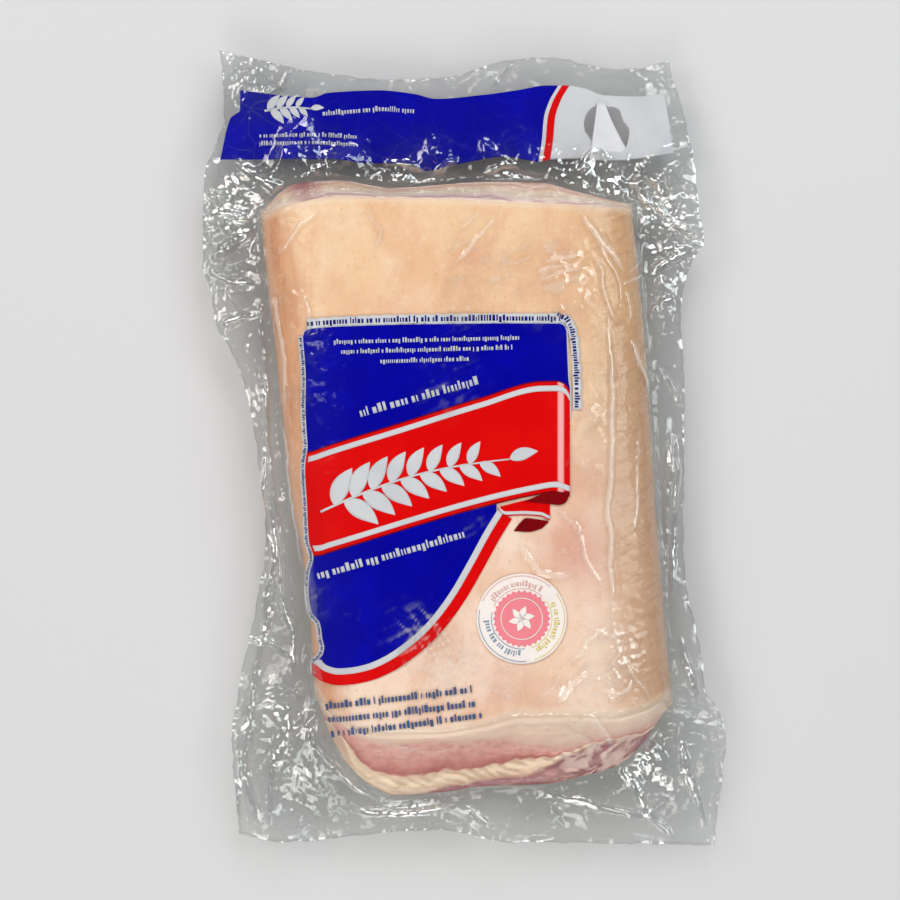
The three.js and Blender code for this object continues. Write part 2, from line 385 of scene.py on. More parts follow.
# Pinker low down and tanner high up, with broad clouds, blotches and a few spots of their own. At the sides
# the skin is browner, with streaks there: partly its own tan, partly painted shade where it turns down.
# Lowest on the sides it is darker still by painted shade. It is pale along its cut edges.
colour = skin.layered(
    skin.mix(north.step(-0.05, 0.06), srgb(250, 222, 204), srgb(244, 204, 164)),
    (broad.step(0.46, 0.7) * 0.6, srgb(234, 184, 146)),
    (blotch.step(0.5, 0.72) * 0.45, srgb(250, 224, 196)),
    (blotch.step(0.52, 0.32) * 0.45, srgb(228, 172, 138)),
    (skin.spot(0.046, -0.042, 0.024) * (0.35 + mottle * 0.6), srgb(214, 146, 128)),
    (skin.spot(0.052, -0.012, 0.018) * (0.1 + mottle * 0.6), srgb(218, 156, 132)),
    (skin.spot(-0.028, 0.052, 0.022) * 0.35, srgb(222, 162, 132)),
    (skin.spot(0.02, -0.098, 0.03) * 0.3, srgb(230, 178, 158)),
    (skin.spot(-0.03, -0.1, 0.02) * 0.35, srgb(248, 214, 182)),
    (right_side_tan_and_shade * 0.85, right_tan_and_shade),
    (right_side_tan_and_shade * streaks.step(0.5, 0.68) * 0.35, srgb(180, 132, 100)),
    (left_side_tan_and_shade * 0.8, srgb(222, 160, 120)),
    (left_side_tan_and_shade * hairs.step(0.5, 0.68) * 0.4, srgb(204, 134, 98)),
    # Painted shade: the skin is darker lowest down on the roll's sides, where they turn away.
    (height.step(0.032, 0.012) * 0.6, srgb(182, 130, 98)),
    (pores.step(0.22, 0.04) * mottle.step(0.42, 0.66) * 0.6, srgb(214, 148, 96)),
    (mottle.step(0.56, 0.76) * 0.35, srgb(252, 230, 204)),
    (mottle.step(0.46, 0.3) * 0.25, srgb(222, 166, 128)),
    (grain.step(0.56, 0.8) * 0.3, srgb(250, 226, 200)),
    (skin.attribute("edge").step(4.0, 0.0) * 0.5, srgb(248, 228, 206)),
)
relief = skin.bump(mottle, 0.0007, 0.7)
values = {"Base Color": colour, "Roughness": 0.46, "Normal": relief, "Specular IOR Level": 0.3}
rind.data.materials.append(skin.finished(skin.node("ShaderNodeBsdfPrincipled", {}, values)))
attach(rind, "root")

# --------------------------------------------------------------------------------------------------
# The pork inside the rind. It shows at the two cut ends only, where the knife went through a band of back
# fat, a band of lean, a second band of ribbed fat and a last strip of dark lean. The fat stands a little
# proud of the lean.

RIND_THICKNESS = 2.2
PROUD = 0.7  # the cut faces stand this far out of the rind's cut edge
CORE_INSET = RIND_INSET + RIND_THICKNESS
FOOT_INSET = FILM_GAP - 0.3  # the cut faces reach a little further out than the rind
# The lower edges of the fat, the lean and the ribbed fat on the lower cut face, as [x, y] points.
FAT_EDGE = [
    [-62, -108], [-52, -112], [-42, -119], [-30, -121.5], [-10, -120], [16, -119.5], [24, -121.5],
    [42, -123.5], [52, -120], [64, -117.5], [76, -114], [87, -111],
]
LEAN_EDGE = [
    [-55, -112], [-36, -133], [-22, -135], [-9, -132.5], [4, -130.8], [14, -128.7], [24, -126.8],
    [36, -126], [46, -122], [60, -119], [72, -116.5], [87, -112],
]
RIBBED_EDGE = [
    [-52, -113], [-42, -139], [-30, -142.5], [-16, -141.8], [0, -138], [12, -136.2], [22, -135],
    [32, -131.5], [42, -125.5], [56, -121], [70, -118], [87, -113],
]
fat_edge, lean_edge, ribbed_edge = through(FAT_EDGE), through(LEAN_EDGE), through(RIBBED_EDGE)

columns = [shifted(roll_left, CORE_INSET), shifted(roll_right, -CORE_INSET)]
rows = [shifted(foot_bottom, FOOT_INSET), shifted(rind_bottom, CORE_INSET)]
rows += [shifted(rind_top, -CORE_INSET), shifted(foot_top, -FOOT_INSET)]
x, y = crossings(columns, rows, lines((190, 0.3)), lines((60, 0), (8, 0), (22, 0)))
cut = roll_form(x, y, RIND_INSET)[0]
under = np.maximum(roll_form(x, y, CORE_INSET)[1], CORE_INSET)
inside = np.clip(y, rind_bottom(x) + CORE_INSET, rind_top(x) - CORE_INSET)
beneath_rind = roll_form(x, inside, CORE_INSET)[0]
# Bands, counted down the lower cut face: 0 to 1 is fat, 1 to 2 lean, 2 to 3 ribbed fat, 3 to 4 dark lean.
wobble = 0.8 * noise(x, y, 8, 21) + 0.45 * noise(x, y, 3.1, 22)
teeth = (0.9 * np.abs(np.sin((x - 0.7 * y) * 0.5 + 1.6 * noise(x, y, 9, 20))) - 0.4) * smooth((x + 36) / 14)
edges = [rind_bottom(x), fat_edge(x) + 0.5 * wobble, lean_edge(x) + wobble + teeth]
edges += [ribbed_edge(x) + wobble, foot_bottom(x)]
for i in range(1, 5):
    edges[i] = np.minimum(edges[i], edges[i - 1] - 0.3)
band = sum(np.clip((a - y) / (a - b), 0, 1) for a, b in zip(edges, edges[1:]))
band = np.minimum(band, 2.85 + 1.15 * smooth((x + 20) / 14))
# On the upper cut face, from the rind's edge outwards: a thin lean, fat, and lean again.
outwards = np.clip((y - rind_top(x)) / (foot_top(x) - rind_top(x)), 0, 1)
upper_band = outwards * 3.4 + 0.5 * noise(x, y, 15, 23) + 0.35 * noise(x, y, 5, 24)
lower = y < 0
band = np.where(lower, band, np.clip(upper_band, 0, 3.99))
swelling = 0.6 * np.abs(np.sin(np.pi * np.clip(band, 0, 3.99))) ** 0.6
in_ribs = smooth(1.6 - 2 * np.abs(band - 2.5)) * lower * smooth((x + 44) / 20)
ribs = 0.4 * np.sin((x * 0.75 + y * 1.5) * 1.15 + 3.4 * noise(x, y, 8, 25)) * in_ribs
ribs = ribs * (0.8 + 0.6 * noise(x, y, 11, 19)) + 0.3 * noise(x - y, y, 4.5, 18) * in_ribs
groove = smooth(-1 - 8 * ribs) * in_ribs
torn = creased(x - 0.6 * y, y + 0.5 * x, 5.5, 28) + 0.5 * creased(x, y, 2.6, 29)
torn = 0.9 * torn * smooth(band - 2.6) * smooth((x - 28) / 14)
fibres = 0.14 * noise(x / 4, y + 0.15 * x, 0.9, 26) + 0.22 * noise(x, y, 2.2, 27)
cut = cut + (PROUD + swelling + ribs + torn + fibres) * smooth((cut - SEAM) / 2.5)
face = np.maximum(np.minimum(cut, beneath_rind), under + 0.2)
right_end = smooth((x - 30) / 16) * lower
pork = shell(
    "pork", places(x, y, face), places(x, y, under), quads(*x.shape),
    band=band, lower_face=lower.astype(float), right_end=right_end, groove=groove,
)

flesh = Finish("pork_cut_face")
at = flesh.place()
band = flesh.attribute("band")
fine = flesh.cloud(at, 330.0, 3.0, 0.6)
fibre = flesh.cloud(flesh.stretched(at, (4.5, 1.0, 1.0), 0.1), 420.0, 3.0, 0.65)
smear = flesh.cloud(flesh.stretched(at, (2.5, 1.0, 1.0), 0.1), 75.0, 4.0, 0.6, 0.8)
membrane = flesh.cloud(flesh.stretched(at, (3.0, 1.0, 1.0), 0.95), 130.0, 4.0, 0.6, 1.2)
place = band * 0.25 + (smear - 0.5) * 0.08 + (fibre - 0.5) * 0.04
stops = [(0.0, srgb(254, 230, 208)), (0.15, srgb(248, 216, 194)), (0.225, srgb(236, 194, 176))]
stops += [(0.262, srgb(236, 180, 168)), (0.34, srgb(234, 172, 160)), (0.42, srgb(224, 150, 140))]
stops += [(0.492, srgb(192, 106, 102)), (0.518, srgb(240, 206, 178)), (0.6, srgb(250, 226, 194))]
stops += [(0.7, srgb(240, 208, 178)), (0.745, srgb(210, 160, 146)), (0.775, srgb(156, 96, 102))]
stops += [(0.88, srgb(180, 126, 136)), (1.0, srgb(148, 80, 78))]
lower_colour = flesh.node("ShaderNodeValToRGB", {"stops": stops}, {"Fac": place})
stops = [(0.0, srgb(246, 220, 208)), (0.04, srgb(194, 148, 160)), (0.1, srgb(244, 218, 208))]
stops += [(0.3, srgb(255, 240, 214)), (0.5, srgb(255, 230, 202)), (0.62, srgb(236, 186, 164))]
stops += [(0.74, srgb(250, 224, 208)), (0.9, srgb(214, 154, 144))]
upper_colour = flesh.layered(
    flesh.node("ShaderNodeValToRGB", {"stops": stops}, {"Fac": place}),
    (smear.step(0.5, 0.62) * 0.35, srgb(222, 172, 150)),
    (flesh.spot(-0.066, 0.108, 0.011), srgb(178, 116, 118)),
)
torn = flesh.attribute("right_end") * band.step(1.9, 2.6)
in_lean = band.step(0.8, 1.1) * band.step(2.2, 1.9) + band.step(2.8, 3.1)
# Torn membrane at the right end, shade in the grooves between the ribs, and pale and dark fibres.
colour = flesh.layered(
    flesh.mix(flesh.attribute("lower_face").step(0.4, 0.6), upper_colour, lower_colour),
    (torn * membrane.step(0.46, 0.58) * 0.9, srgb(240, 212, 202)),
    (torn * membrane.step(0.45, 0.34) * 0.6, srgb(166, 110, 126)),
    (flesh.attribute("groove") * 0.5, srgb(206, 158, 130)),
    (fibre.step(0.55, 0.75) * 0.3, srgb(250, 230, 214)),
    (fine.step(0.58, 0.36) * in_lean.clip() * 0.3, srgb(182, 108, 100)),
    (smear.step(0.52, 0.36) * 0.25, srgb(222, 182, 164)),
)
relief = flesh.bump(fibre + fine * 0.5 + smear * 1.2, 0.0005, 0.6)
values = {"Base Color": colour, "Roughness": 0.36, "Normal": relief, "Specular IOR Level": 0.5}
pork.data.materials.append(flesh.finished(flesh.node("ShaderNodeBsdfPrincipled", {}, values)))
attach(pork, "root")

# --------------------------------------------------------------------------------------------------
# The back film. The pouch is two sheets of clear barrier film, about 0.1 mm thick, sealed at their edges
# and sucked down on the roll and on each other. The back sheet lies under the roll; in the margin it
# clings to the front sheet, and both are creased together.

# The pouch's outline: its sides are [y, x] points, and its two ends are [x, y] points.
POUCH_LEFT = [
    [-162, -92.5], [-150, -93], [-124, -95.5], [-98, -92.5], [-73, -87], [-36, -81.5], [-5, -84.5],
    [26, -90], [40, -95.5], [51, -102], [62, -103.5], [75, -107.5], [112, -106.5], [126, -101.5],
    [137, -98.5], [163, -100.5],
]
POUCH_RIGHT = [
    [-163, 103], [-140, 105.5], [-122, 107.5], [-107, 104.5], [-100, 99], [-85, 97.5], [-55, 91],
    [-24, 90], [24, 90.5], [58, 89], [76, 93], [85, 98.5], [92, 97.5], [112, 95], [137, 90.5], [160, 83.5],
]
POUCH_BOTTOM = [
    [-94, -158], [-76, -162], [-52, -160.5], [-30, -158], [-10, -157], [20, -162], [60, -162.5],
    [103, -163.5],
]
POUCH_TOP = [
    [-100.5, 163.5], [-82, 159], [-60, 154.5], [-30, 151.5], [-5, 153], [14, 158.5], [34, 160.5],
    [56, 156.5], [70, 155.5], [84, 160],
]
HANG_HOLE = (58.4, 132.0, 9.1)  # x, y, and the radius that it was punched with
# The hole is pulled and torn: how far its edge is from its middle, by the angle in degrees.
HOLE_EDGE = [
    [-180, 8.9], [-138, 8.3], [-90, 9.8], [-50, 12.0], [-27, 10.4], [-5, 9.4], [20, 7.3], [60, 8.7],
    [86, 8.2], [115, 9.7], [180, 8.9],
]
FILM_PAIR = 1.2  # the two films with the air and the print between them
SEAL = 3.0  # width along the rim over which the two films come together
# How far from the roll the margin's waves, its folds and its crumple reach their full height.
MARGIN_REACH, FOLD_REACH, CRUMPLE_REACH = 10.0, 3.5, 1.6
DROOP, DROOP_SPAN, LOWEST_MARGIN = 5.5, 60.0, 2.0
TENT, TENT_REACH, RIM_REACH = 2.0, 2.0, 8.0  # the films bridge the corner between the roll and the margin
ROUNDED = 2.0  # the greater, the softer the turn where a film leaves the roll
# Long waves of the margin: height, length along x, length along y (0 for none) and phase in turns.
WAVES = [(1.5, 74, 0, 0.1), (1.3, 0, 58, 0.35), (1.1, 46, 61, 0.6), (0.9, -33, 44, 0.2), (0.7, 27, -31, 0.8)]
# Folds of both films in the margin: path, width, height, and half the width of a flat top.
FOLDS = [
    ([[98, 86], [83, 77], [77, 71]], 3.2, 2.6, 0.3), ([[98, 86], [88, 91], [76, 92]], 2.4, 2.0, 0),
    ([[99, 84], [84, 82], [76, 79]], 1.8, 1.4, 0), ([[90, 60], [85, 62], [77, 58], [73, 50]], 2.2, 1.8, 0.2),
    ([[-107, 76], [-95, 84], [-84, 92]], 3.4, 2.8, 0.5), ([[-102, 51], [-92, 54], [-80, 59]], 3.0, 2.4, 0.3),
    ([[-107, 74], [-97, 70], [-84, 66]], 2.4, 1.8, 0), ([[-103, 98], [-94, 96], [-87, 92]], 2.2, 2.0, 0),
    ([[-80.5, 11], [-82, -21], [-78.5, -46], [-83, -78], [-87, -103], [-86, -140]], 1.8, 1.5, 0.5),
    ([[-76, -45], [-74, -58], [-69.5, -78], [-68, -99]], 1.6, 1.2, 0),
    ([[-86, 4], [-84, -20], [-82, -50]], 1.4, 1.1, 0.3), ([[-87, 40], [-82, 20], [-79, -4]], 1.6, 1.3, 0),
    ([[-85, 66], [-82, 42], [-80.5, 12], [-77.5, -14]], 1.3, 1.5, 0.3),
    ([[-81, 10], [-77, -20], [-74, -40], [-73, -56]], 1.1, 1.4, 0.2),
    ([[-79, -12], [-76, -52], [-73, -68], [-71, -80]], 1.2, 1.5, 0.3),
    ([[-76, -52], [-79, -66], [-83, -79]], 1.5, 1.3, 0),
    ([[-89, -100], [-90, -132], [-83, -158]], 2.6, 1.8, 0.8),
    ([[-70, -104], [-78, -130], [-80, -158]], 2.2, 1.9, 0),
    ([[-93, -72], [-90, -78], [-78, -80], [-68, -86]], 1.8, 1.8, 0),
    ([[-94, -112], [-92, -134], [-92, -156]], 1.6, 1.0, 0.5),
    ([[86, 10], [84.5, -8], [83, -37], [81, -56], [80, -68]], 1.6, 1.4, 1.0),
    ([[89, 3], [87.5, -21], [86.5, -46], [84.5, -70]], 1.4, 1.2, 0.4),
    ([[88, -74], [91, -90], [96, -104]], 2.4, 1.6, 0.6), ([[79, 34], [84, 28], [89, 17]], 2.0, 1.6, 0),
    ([[57, -119], [63, -129], [70, -139], [75, -150], [83, -157], [90, -163]], 1.5, 2.2, 0.5),
    ([[30, -141], [40, -143], [54, -147], [72, -151.5], [88, -143]], 2.0, 1.9, 0.2),
    ([[88, -117], [91.5, -129], [95, -143], [101, -160]], 1.4, 1.8, 0.8),
    ([[-66, -104], [-62, -122], [-56, -130], [-45, -139], [-36, -144]], 1.4, 1.7, 0),
    ([[-48, -148], [-36, -150], [-18, -149.5], [-4, -147], [2, -144]], 1.8, 2.2, 0.4),
    ([[0, -146], [6, -151], [14, -156]], 2.0, 1.4, 0),
    ([[66, 104], [80, 99], [88, 91], [97, 86]], 1.8, 2.0, 0),
    ([[68, 118], [84, 102], [88, 92]], 2.0, 1.7, 0.3), ([[21, 160], [15, 152], [10, 145]], 1.6, 1.3, 0),
    ([[-35, 115], [-28, 118], [-20, 116], [-16, 113]], 2.0, 2.2, 0),
    ([[-12, 112], [-6, 117], [0, 118]], 1.8, 1.8, 0), ([[8, 113], [16, 117], [24, 115]], 1.8, 1.8, 0),
    ([[48, 110], [50, 118], [55, 124], [58, 118]], 2.2, 2.4, 0.3),
    ([[-98, 122], [-86, 112], [-76, 106], [-66, 108]], 2.4, 2.0, 0.6),
    ([[-70, 158], [-76, 149], [-84, 146]], 2.0, 1.6, 0),
    ([[70, 108], [74, 100], [78, 97]], 1.6, 1.5, 0), ([[60, 112], [66, 108], [73, 106]], 1.6, 1.3, 0),
]
# Where the films are crumpled most: x, y, radius and amount.
CRUMPLED = [
    (-97, 96, 26, 1.0), (-88, 152, 18, 1.0), (-60, 113, 16, 0.9), (-20, 112, 15, 0.9), (20, 111, 15, 0.9),
    (52, 112, 14, 1.0), (80, 104, 16, 0.9), (86, 74, 16, 0.8), (86, 40, 14, 0.4), (-73, -22, 9, 0.6),
    (-76, -112, 16, 0.6), (-70, -146, 14, 0.6), (74, -128, 15, 0.9), (40, -150, 10, 0.5),
    (-20, -150, 10, 0.5), (72, 160, 12, 0.8), (-94, 50, 14, 0.5), (88, -10, 16, 0.35), (87, -50, 16, 0.35),
    (-86, 10, 16, 0.4), (-76, -60, 14, 0.4),
]


def jagged(points, seed):
    """The curve through points with the small nicks of a torn and crimped edge."""
    curve = through(points)
    return lambda t: curve(t) + 0.3 * noise(t, 0 * t, 1.9, seed) + 0.3 * noise(t, 0 * t, 5.3, seed + 1)


pouch_left, pouch_right = jagged(POUCH_LEFT, 81), jagged(POUCH_RIGHT, 83)
pouch_bottom, pouch_top = jagged(POUCH_BOTTOM, 85), jagged(POUCH_TOP, 87)


def fold(x, y, path, width, height, flat=0.0):
    """The height of a fold along a path: full on it and out to flat, down to nothing width further on,
    and fading and narrower towards its ends."""
    path = np.array(path, float)
    steps = np.diff(path, axis=0)
    lengths = np.hypot(*steps.T)
    starts = np.concatenate([[0], np.cumsum(lengths)])
    low, high = path.min(0) - width - flat, path.max(0) + width + flat
    near = (x > low[0]) & (x < high[0]) & (y > low[1]) & (y < high[1])
    near_x, near_y = x[near], y[near]
    nearest, along = np.full(near_x.shape, 1e6), np.zeros(near_x.shape)
    for (px, py), (dx, dy), length, start in zip(path, steps, lengths, starts):
        t = np.clip(((near_x - px) * dx + (near_y - py) * dy) / length**2, 0, 1)
        gap = np.hypot(near_x - px - t * dx, near_y - py - t * dy)
        along = np.where(gap < nearest, start + t * length, along)
        nearest = np.minimum(gap, nearest)
    fade = smooth(along / starts[-1] * 4) * smooth((1 - along / starts[-1]) * 4)
    out = np.zeros(x.shape)
    out[near] = height * fade * smooth(1 - (nearest / (0.3 + 0.7 * fade) - flat) / width)
    return out


def wander(x, y, reach=1.3):
    """Places moved about a little, so that a fold looked up there wavers."""
    aside_x = reach * noise(x, y, 12, 51) + 0.3 * reach * noise(x, y, 4, 52)
    aside_y = reach * noise(x, y, 12, 53) + 0.3 * reach * noise(x, y, 4, 54)
    return x + aside_x, y + aside_y


def creases(x, y, folds):
    """1 on the top of any of the folds, and 0 off them."""
    at = wander(x, y)
    return np.minimum(sum(fold(*at, path, 0.75 * width, 1.0, flat) for path, width, _, flat in folds), 1)


def off_roll(x, y):
    """The distance past the roll's outline, and 0 on the roll."""
    held = np.clip(x, roll_left(y), roll_right(y))
    past = np.maximum(np.maximum(foot_bottom(held) - y, y - foot_top(held)), 0)
    return np.hypot(x - held, past)


def patches(x, y, least, spots):
    """How crumpled, from least to 1: bells of a e^(-d^2 / r^2) round each spot, added up."""
    bells = [a * np.exp(-((x - cx) ** 2 + (y - cy) ** 2) / r**2) for cx, cy, r, a in spots]
    return least + (1 - least) * np.minimum(sum(bells), 1)


def crumple(x, y):
    """How crumpled the margin is."""
    return patches(x, y, 0.3, CRUMPLED)


def margin(x, y):
    """The height of the middle of the two clinging films: it leaves the roll at the seam, sinks away
    from it, and carries waves, folds, and crumple of three sizes, drawn out along the roll's sides."""
    beside = off_roll(x, y)
    waves = 0
    for height, length_x, length_y, phase in WAVES:
        turns = (x / length_x if length_x else 0) + (y / length_y if length_y else 0) + phase
        waves = waves + height * np.sin(2 * np.pi * turns)
    at = wander(x, y)
    folds = sum(fold(*at, *one) for one in FOLDS) * smooth(beside / FOLD_REACH)
    bent_x = x + 3.5 * noise(x, y, 19, 31) + 1.0 * noise(x, y, 6, 32)
    bent_y = y + 3.5 * noise(x, y, 19, 33) + 1.0 * noise(x, y, 6, 34)
    at_sides = smooth(2 - np.abs(y + 10) / 60) * smooth((np.abs(x - 4) - 62) / 10)
    drawn = bent_y * (1 - 0.75 * at_sides)
    much = crumple(x, y)
    turned_x, turned_y = 0.8 * bent_x + 0.6 * drawn, 0.8 * drawn - 0.6 * bent_x
    small = 1.7 * creased(bent_x, drawn, 13, 35)
    small = small + 1.25 * creased(turned_x, turned_y, 6.5, 36) * (0.4 + 0.6 * much)
    small = small + 0.5 * creased(turned_y, turned_x, 3.4, 37) * (0.15 + 0.85 * much)
    small = small * (1 - 0.5 * at_sides * (1 - much))
    loose = smooth(beside / MARGIN_REACH)
    sunk = SEAM - DROOP * smooth(beside / DROOP_SPAN)
    raised = waves * loose + folds + small * smooth(beside / CRUMPLE_REACH)
    return np.maximum(sunk + raised, LOWEST_MARGIN)


def rim_distance(x, y):
    """The distance in from the pouch's outline, along x or along y, whichever is less."""
    across = np.minimum(x - pouch_left(y), pouch_right(y) - x)
    return np.maximum(np.minimum(across, np.minimum(y - pouch_bottom(x), pouch_top(x) - y)), 0)


def film_gap(x, y):
    """Half the distance between the two films in the margin: nothing at the sealed rim."""
    return FILM_PAIR / 2 * smooth(rim_distance(x, y) / SEAL)


def bridge(x, y):
    """How far a film stands off in the corner beside the roll: TENT e^(-d / TENT_REACH), d away from it."""
    return TENT * np.exp(-off_roll(x, y) / TENT_REACH) * smooth(rim_distance(x, y) / RIM_REACH)


def joined(one, other, side):
    """The greater of two heights for side 1 and the lesser for side -1, with a soft turn where they meet:
    half of one + other + side sqrt((one - other)^2 + ROUNDED)."""
    return 0.5 * (one + other + side * np.sqrt((one - other) ** 2 + ROUNDED))


def back_film(x, y):
    """The back film follows the roll's back, bridges the corner beside it, and joins the margin."""
    low = margin(x, y) - film_gap(x, y) - bridge(x, y)
    return np.maximum(joined(low, roll_form(x, y)[1], -1), 0)


def punched(x, y, faces, hole):
    """The faces outside the torn hole, with the corners next to it moved onto its edge."""
    away_x, away_y = x.ravel() - hole[0], y.ravel() - hole[1]
    angle = np.arctan2(away_y, away_x)
    reach = through(HOLE_EDGE)(np.degrees(angle)) + 0.25 * noise(angle, 0 * angle, 0.21, 89)
    inside = (np.hypot(away_x, away_y) - reach)[faces].mean(1) < 0
    ring = np.intersect1d(faces[inside], faces[~inside])
    x.ravel()[ring] = hole[0] + (reach * np.cos(angle))[ring]
    y.ravel()[ring] = hole[1] + (reach * np.sin(angle))[ring]
    return faces[~inside]


def sheet(x, y, hole=None):
    """The corners in use and the faces of a grid, less the torn hole if there is one."""
    x, y = x.copy(), y.copy()
    faces = quads(*x.shape)
    if hole:
        faces = punched(x, y, faces, hole)
    used, faces = np.unique(faces, return_inverse=True)
    return x.ravel()[used], y.ravel()[used], faces.reshape(-1, 4)


def film_finish(name, tint):
    """Clear glossy film: it passes most light, a little tinted. The share that it mirrors grows at a
    glance, where it is crumpled, and along its creases and a web of fine ones. A flat pleat is milky: partly
    the real whiteness of film folded double, partly a painted highlight of diffuse cream."""
    film = Finish(name)
    at = film.place()
    much = film.attribute("crumple")
    crease = film.attribute("crease")
    milky = film.attribute("milky")
    swirl = film.cloud(at, 60.0, 1.0, 0.5, plan="2D")
    moved = {0: swirl, 1: (0.018, -0.013, 0.0), 2: at}  # along x and y, in metres where swirl is 1
    bent = film.node("ShaderNodeVectorMath", {"operation": "MULTIPLY_ADD"}, moved)
    net = {"feature": "DISTANCE_TO_EDGE", "voronoi_dimensions": "2D"}
    facets = film.node("ShaderNodeTexVoronoi", net, {"Vector": bent, "Scale": 88.0}, "Distance")
    web = facets.step(0.05, 0.0)
    wrinkles = film.cloud(at, 190.0, 1.0, 0.65, plan="2D")
    relief = film.bump(wrinkles * (0.2 + much * 0.8), 0.0017, 0.85)
    facing = film.node("ShaderNodeLayerWeight", {}, {"Blend": 0.5, "Normal": relief}, "Facing")
    share = 0.006 + facing * (0.12 + much * 0.44) + much * much * 0.13 + web * much * much * 0.2
    share = share + crease * 0.16 + milky * 0.26
    clear = film.node("ShaderNodeBsdfTransparent", {}, {"Color": tint})
    # Milky places turn from mirror to a diffuse cream: partly the real haze of doubled film, partly a
    # painted highlight.
    tone = film.mix(milky, (0.88, 0.89, 0.88, 1.0), (1.0, 0.96, 0.91, 1.0))
    values = {"Base Color": tone, "Metallic": 1.0 - milky * 0.92, "Roughness": 0.12, "Normal": relief}
    gloss = film.node("ShaderNodeBsdfPrincipled", {}, values)
    return film.finished(film.node("ShaderNodeMixShader", {}, {0: share.clip(), 1: clear, 2: gloss}))


pouch_columns = [pouch_left, roll_left, roll_right, pouch_right]
pouch_rows = [pouch_bottom, foot_bottom, rind_bottom, rind_top, foot_top, pouch_top]
u = lines((28, 0), (190, 0.5), (28, 0))
v = lines((36, 0), (28, 0), (226, 0), (13, 0), (66, 0))
x, y, faces = sheet(*crossings(pouch_columns, pouch_rows, u, v), HANG_HOLE)
loose = smooth(off_roll(x, y) / 2)
rim = smooth(1 - rim_distance(x, y) / 0.9)
film_back = new_piece(
    "film_back", places(x, y, back_film(x, y)), faces[:, ::-1],
    crumple=crumple(x, y) * loose, crease=creases(x, y, FOLDS) * loose + rim,
)
film_back.data.materials.append(film_finish("back_film", (0.87, 0.88, 0.875, 1.0)))
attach(film_back, "root")

# --------------------------------------------------------------------------------------------------
# The front film, of the same clear barrier film, drawn tight over the roll. It clings to the rind, except
# along a few long pleats and trapped folds that run in from the roll's corners, and in patches of crinkles.

# Folds of the front film over the roll: path, width, height, and half the width of a flat top.
PLEATS = [
    ([[46, 99], [53, 89], [61, 78.5], [65.5, 68.5]], 1.3, 0.9, 0.7),
    ([[55, 90.5], [61, 81.5], [65, 69.5]], 1.1, 0.6, 0),
    ([[53.5, 87.5], [58.5, 76], [63, 67], [64, 56]], 1.2, 0.8, 0),
    ([[51.5, 81.5], [55.5, 72], [56.5, 65], [60.5, 54], [67, 46]], 1.2, 0.8, 0),
    ([[59, 60], [59.2, 40], [59.5, 19.5], [60, 1], [58.5, -30.5], [59, -49], [60, -62], [62.5, -84]],
     0.9, 0.8, 0.8),
    ([[68, 46.5], [70.5, 41], [75.0, 28.5], [75.5, 20]], 1.4, 1.0, 0.3),
    ([[80, 74], [72, 70], [63, 65.5]], 1.3, 0.9, 0), ([[77, 79.5], [71, 74], [65.5, 69]], 1.1, 0.7, 0),
    ([[66, 66], [67, 58], [68, 50]], 1.2, 0.7, 0), ([[29, 74], [40, 77], [51, 79.5]], 2.2, 0.4, 0),
    ([[28, 66], [40, 71], [52, 73]], 2.0, 0.35, 0), ([[26, 69], [34, 73], [48, 75]], 1.4, 0.25, 0),
    ([[16, 98], [10, 91], [5.5, 85], [1, 79.5], [-6, 74]], 1.5, 0.5, 0.3),
    ([[8, 98], [4, 95], [-2, 88]], 1.4, 0.4, 0),
    ([[20.5, -35], [24.5, -43], [30.5, -49], [38, -51.5], [48, -51]], 1.8, 0.8, 0.6),
    ([[42.5, -26], [46.5, -33.5], [49, -44.5], [55, -55], [52.5, -60]], 1.2, 0.7, 0),
    ([[36, -22], [44, -31], [47, -38]], 1.4, 0.5, 0), ([[44, -64], [50, -62], [57, -60]], 1.3, 0.5, 0),
    ([[37, -106], [44.5, -97], [53, -89]], 1.8, 0.9, 0.4),
    ([[63, -76], [63.5, -83], [58, -90]], 1.2, 0.6, 0),
    ([[57, -97], [62, -100], [67, -98], [68, -93]], 1.4, 0.8, 0.3),
    ([[-56, 97], [-66, 91], [-78, 75]], 1.3, 0.8, 0),
    ([[-77, 68], [-76.5, 59], [-75.5, 47], [-73.5, 34], [-73, 14]], 1.3, 1.0, 0.3),
    ([[-66, 66], [-62, 57], [-65, 44]], 1.8, 0.35, 0), ([[-40, 98], [-34, 88], [-38, 78]], 1.8, 0.22, 0),
    ([[66, -84], [70, -96], [78, -104]], 1.4, 0.7, 0), ([[44, -70], [60, -76], [70, -74]], 1.4, 0.4, 0),
    ([[-26, -62], [-16, -76], [-8, -92]], 0.9, 0.3, 0), ([[-18, -64], [-6, -78], [4, -84]], 0.9, 0.3, 0),
    ([[-22, -60], [-12, -72], [-4, -90]], 0.9, 0.25, 0),
    ([[-30, -68], [-18, -80], [-12, -88]], 0.9, 0.28, 0),
    ([[36, -112], [48, -118], [60, -126]], 1.4, 0.7, 0),
    ([[52, -106], [57, -114], [62, -124]], 1.3, 0.9, 0.4),
    ([[-40, -118], [-20, -124], [0, -122]], 1.4, 0.3, 0), ([[26, -104], [36, -99], [42, -90]], 1.3, 0.4, 0),
    ([[40, -90], [50, -78], [62, -70]], 1.4, 0.5, 0), ([[4, -93], [10, -99], [22, -101]], 1.1, 0.35, 0),
    ([[-78, 20], [-72, 2], [-70, -24], [-66, -60]], 1.2, 0.6, 0),
    ([[72, 16], [71, -10], [70, -40]], 1.2, 0.25, 0),
]
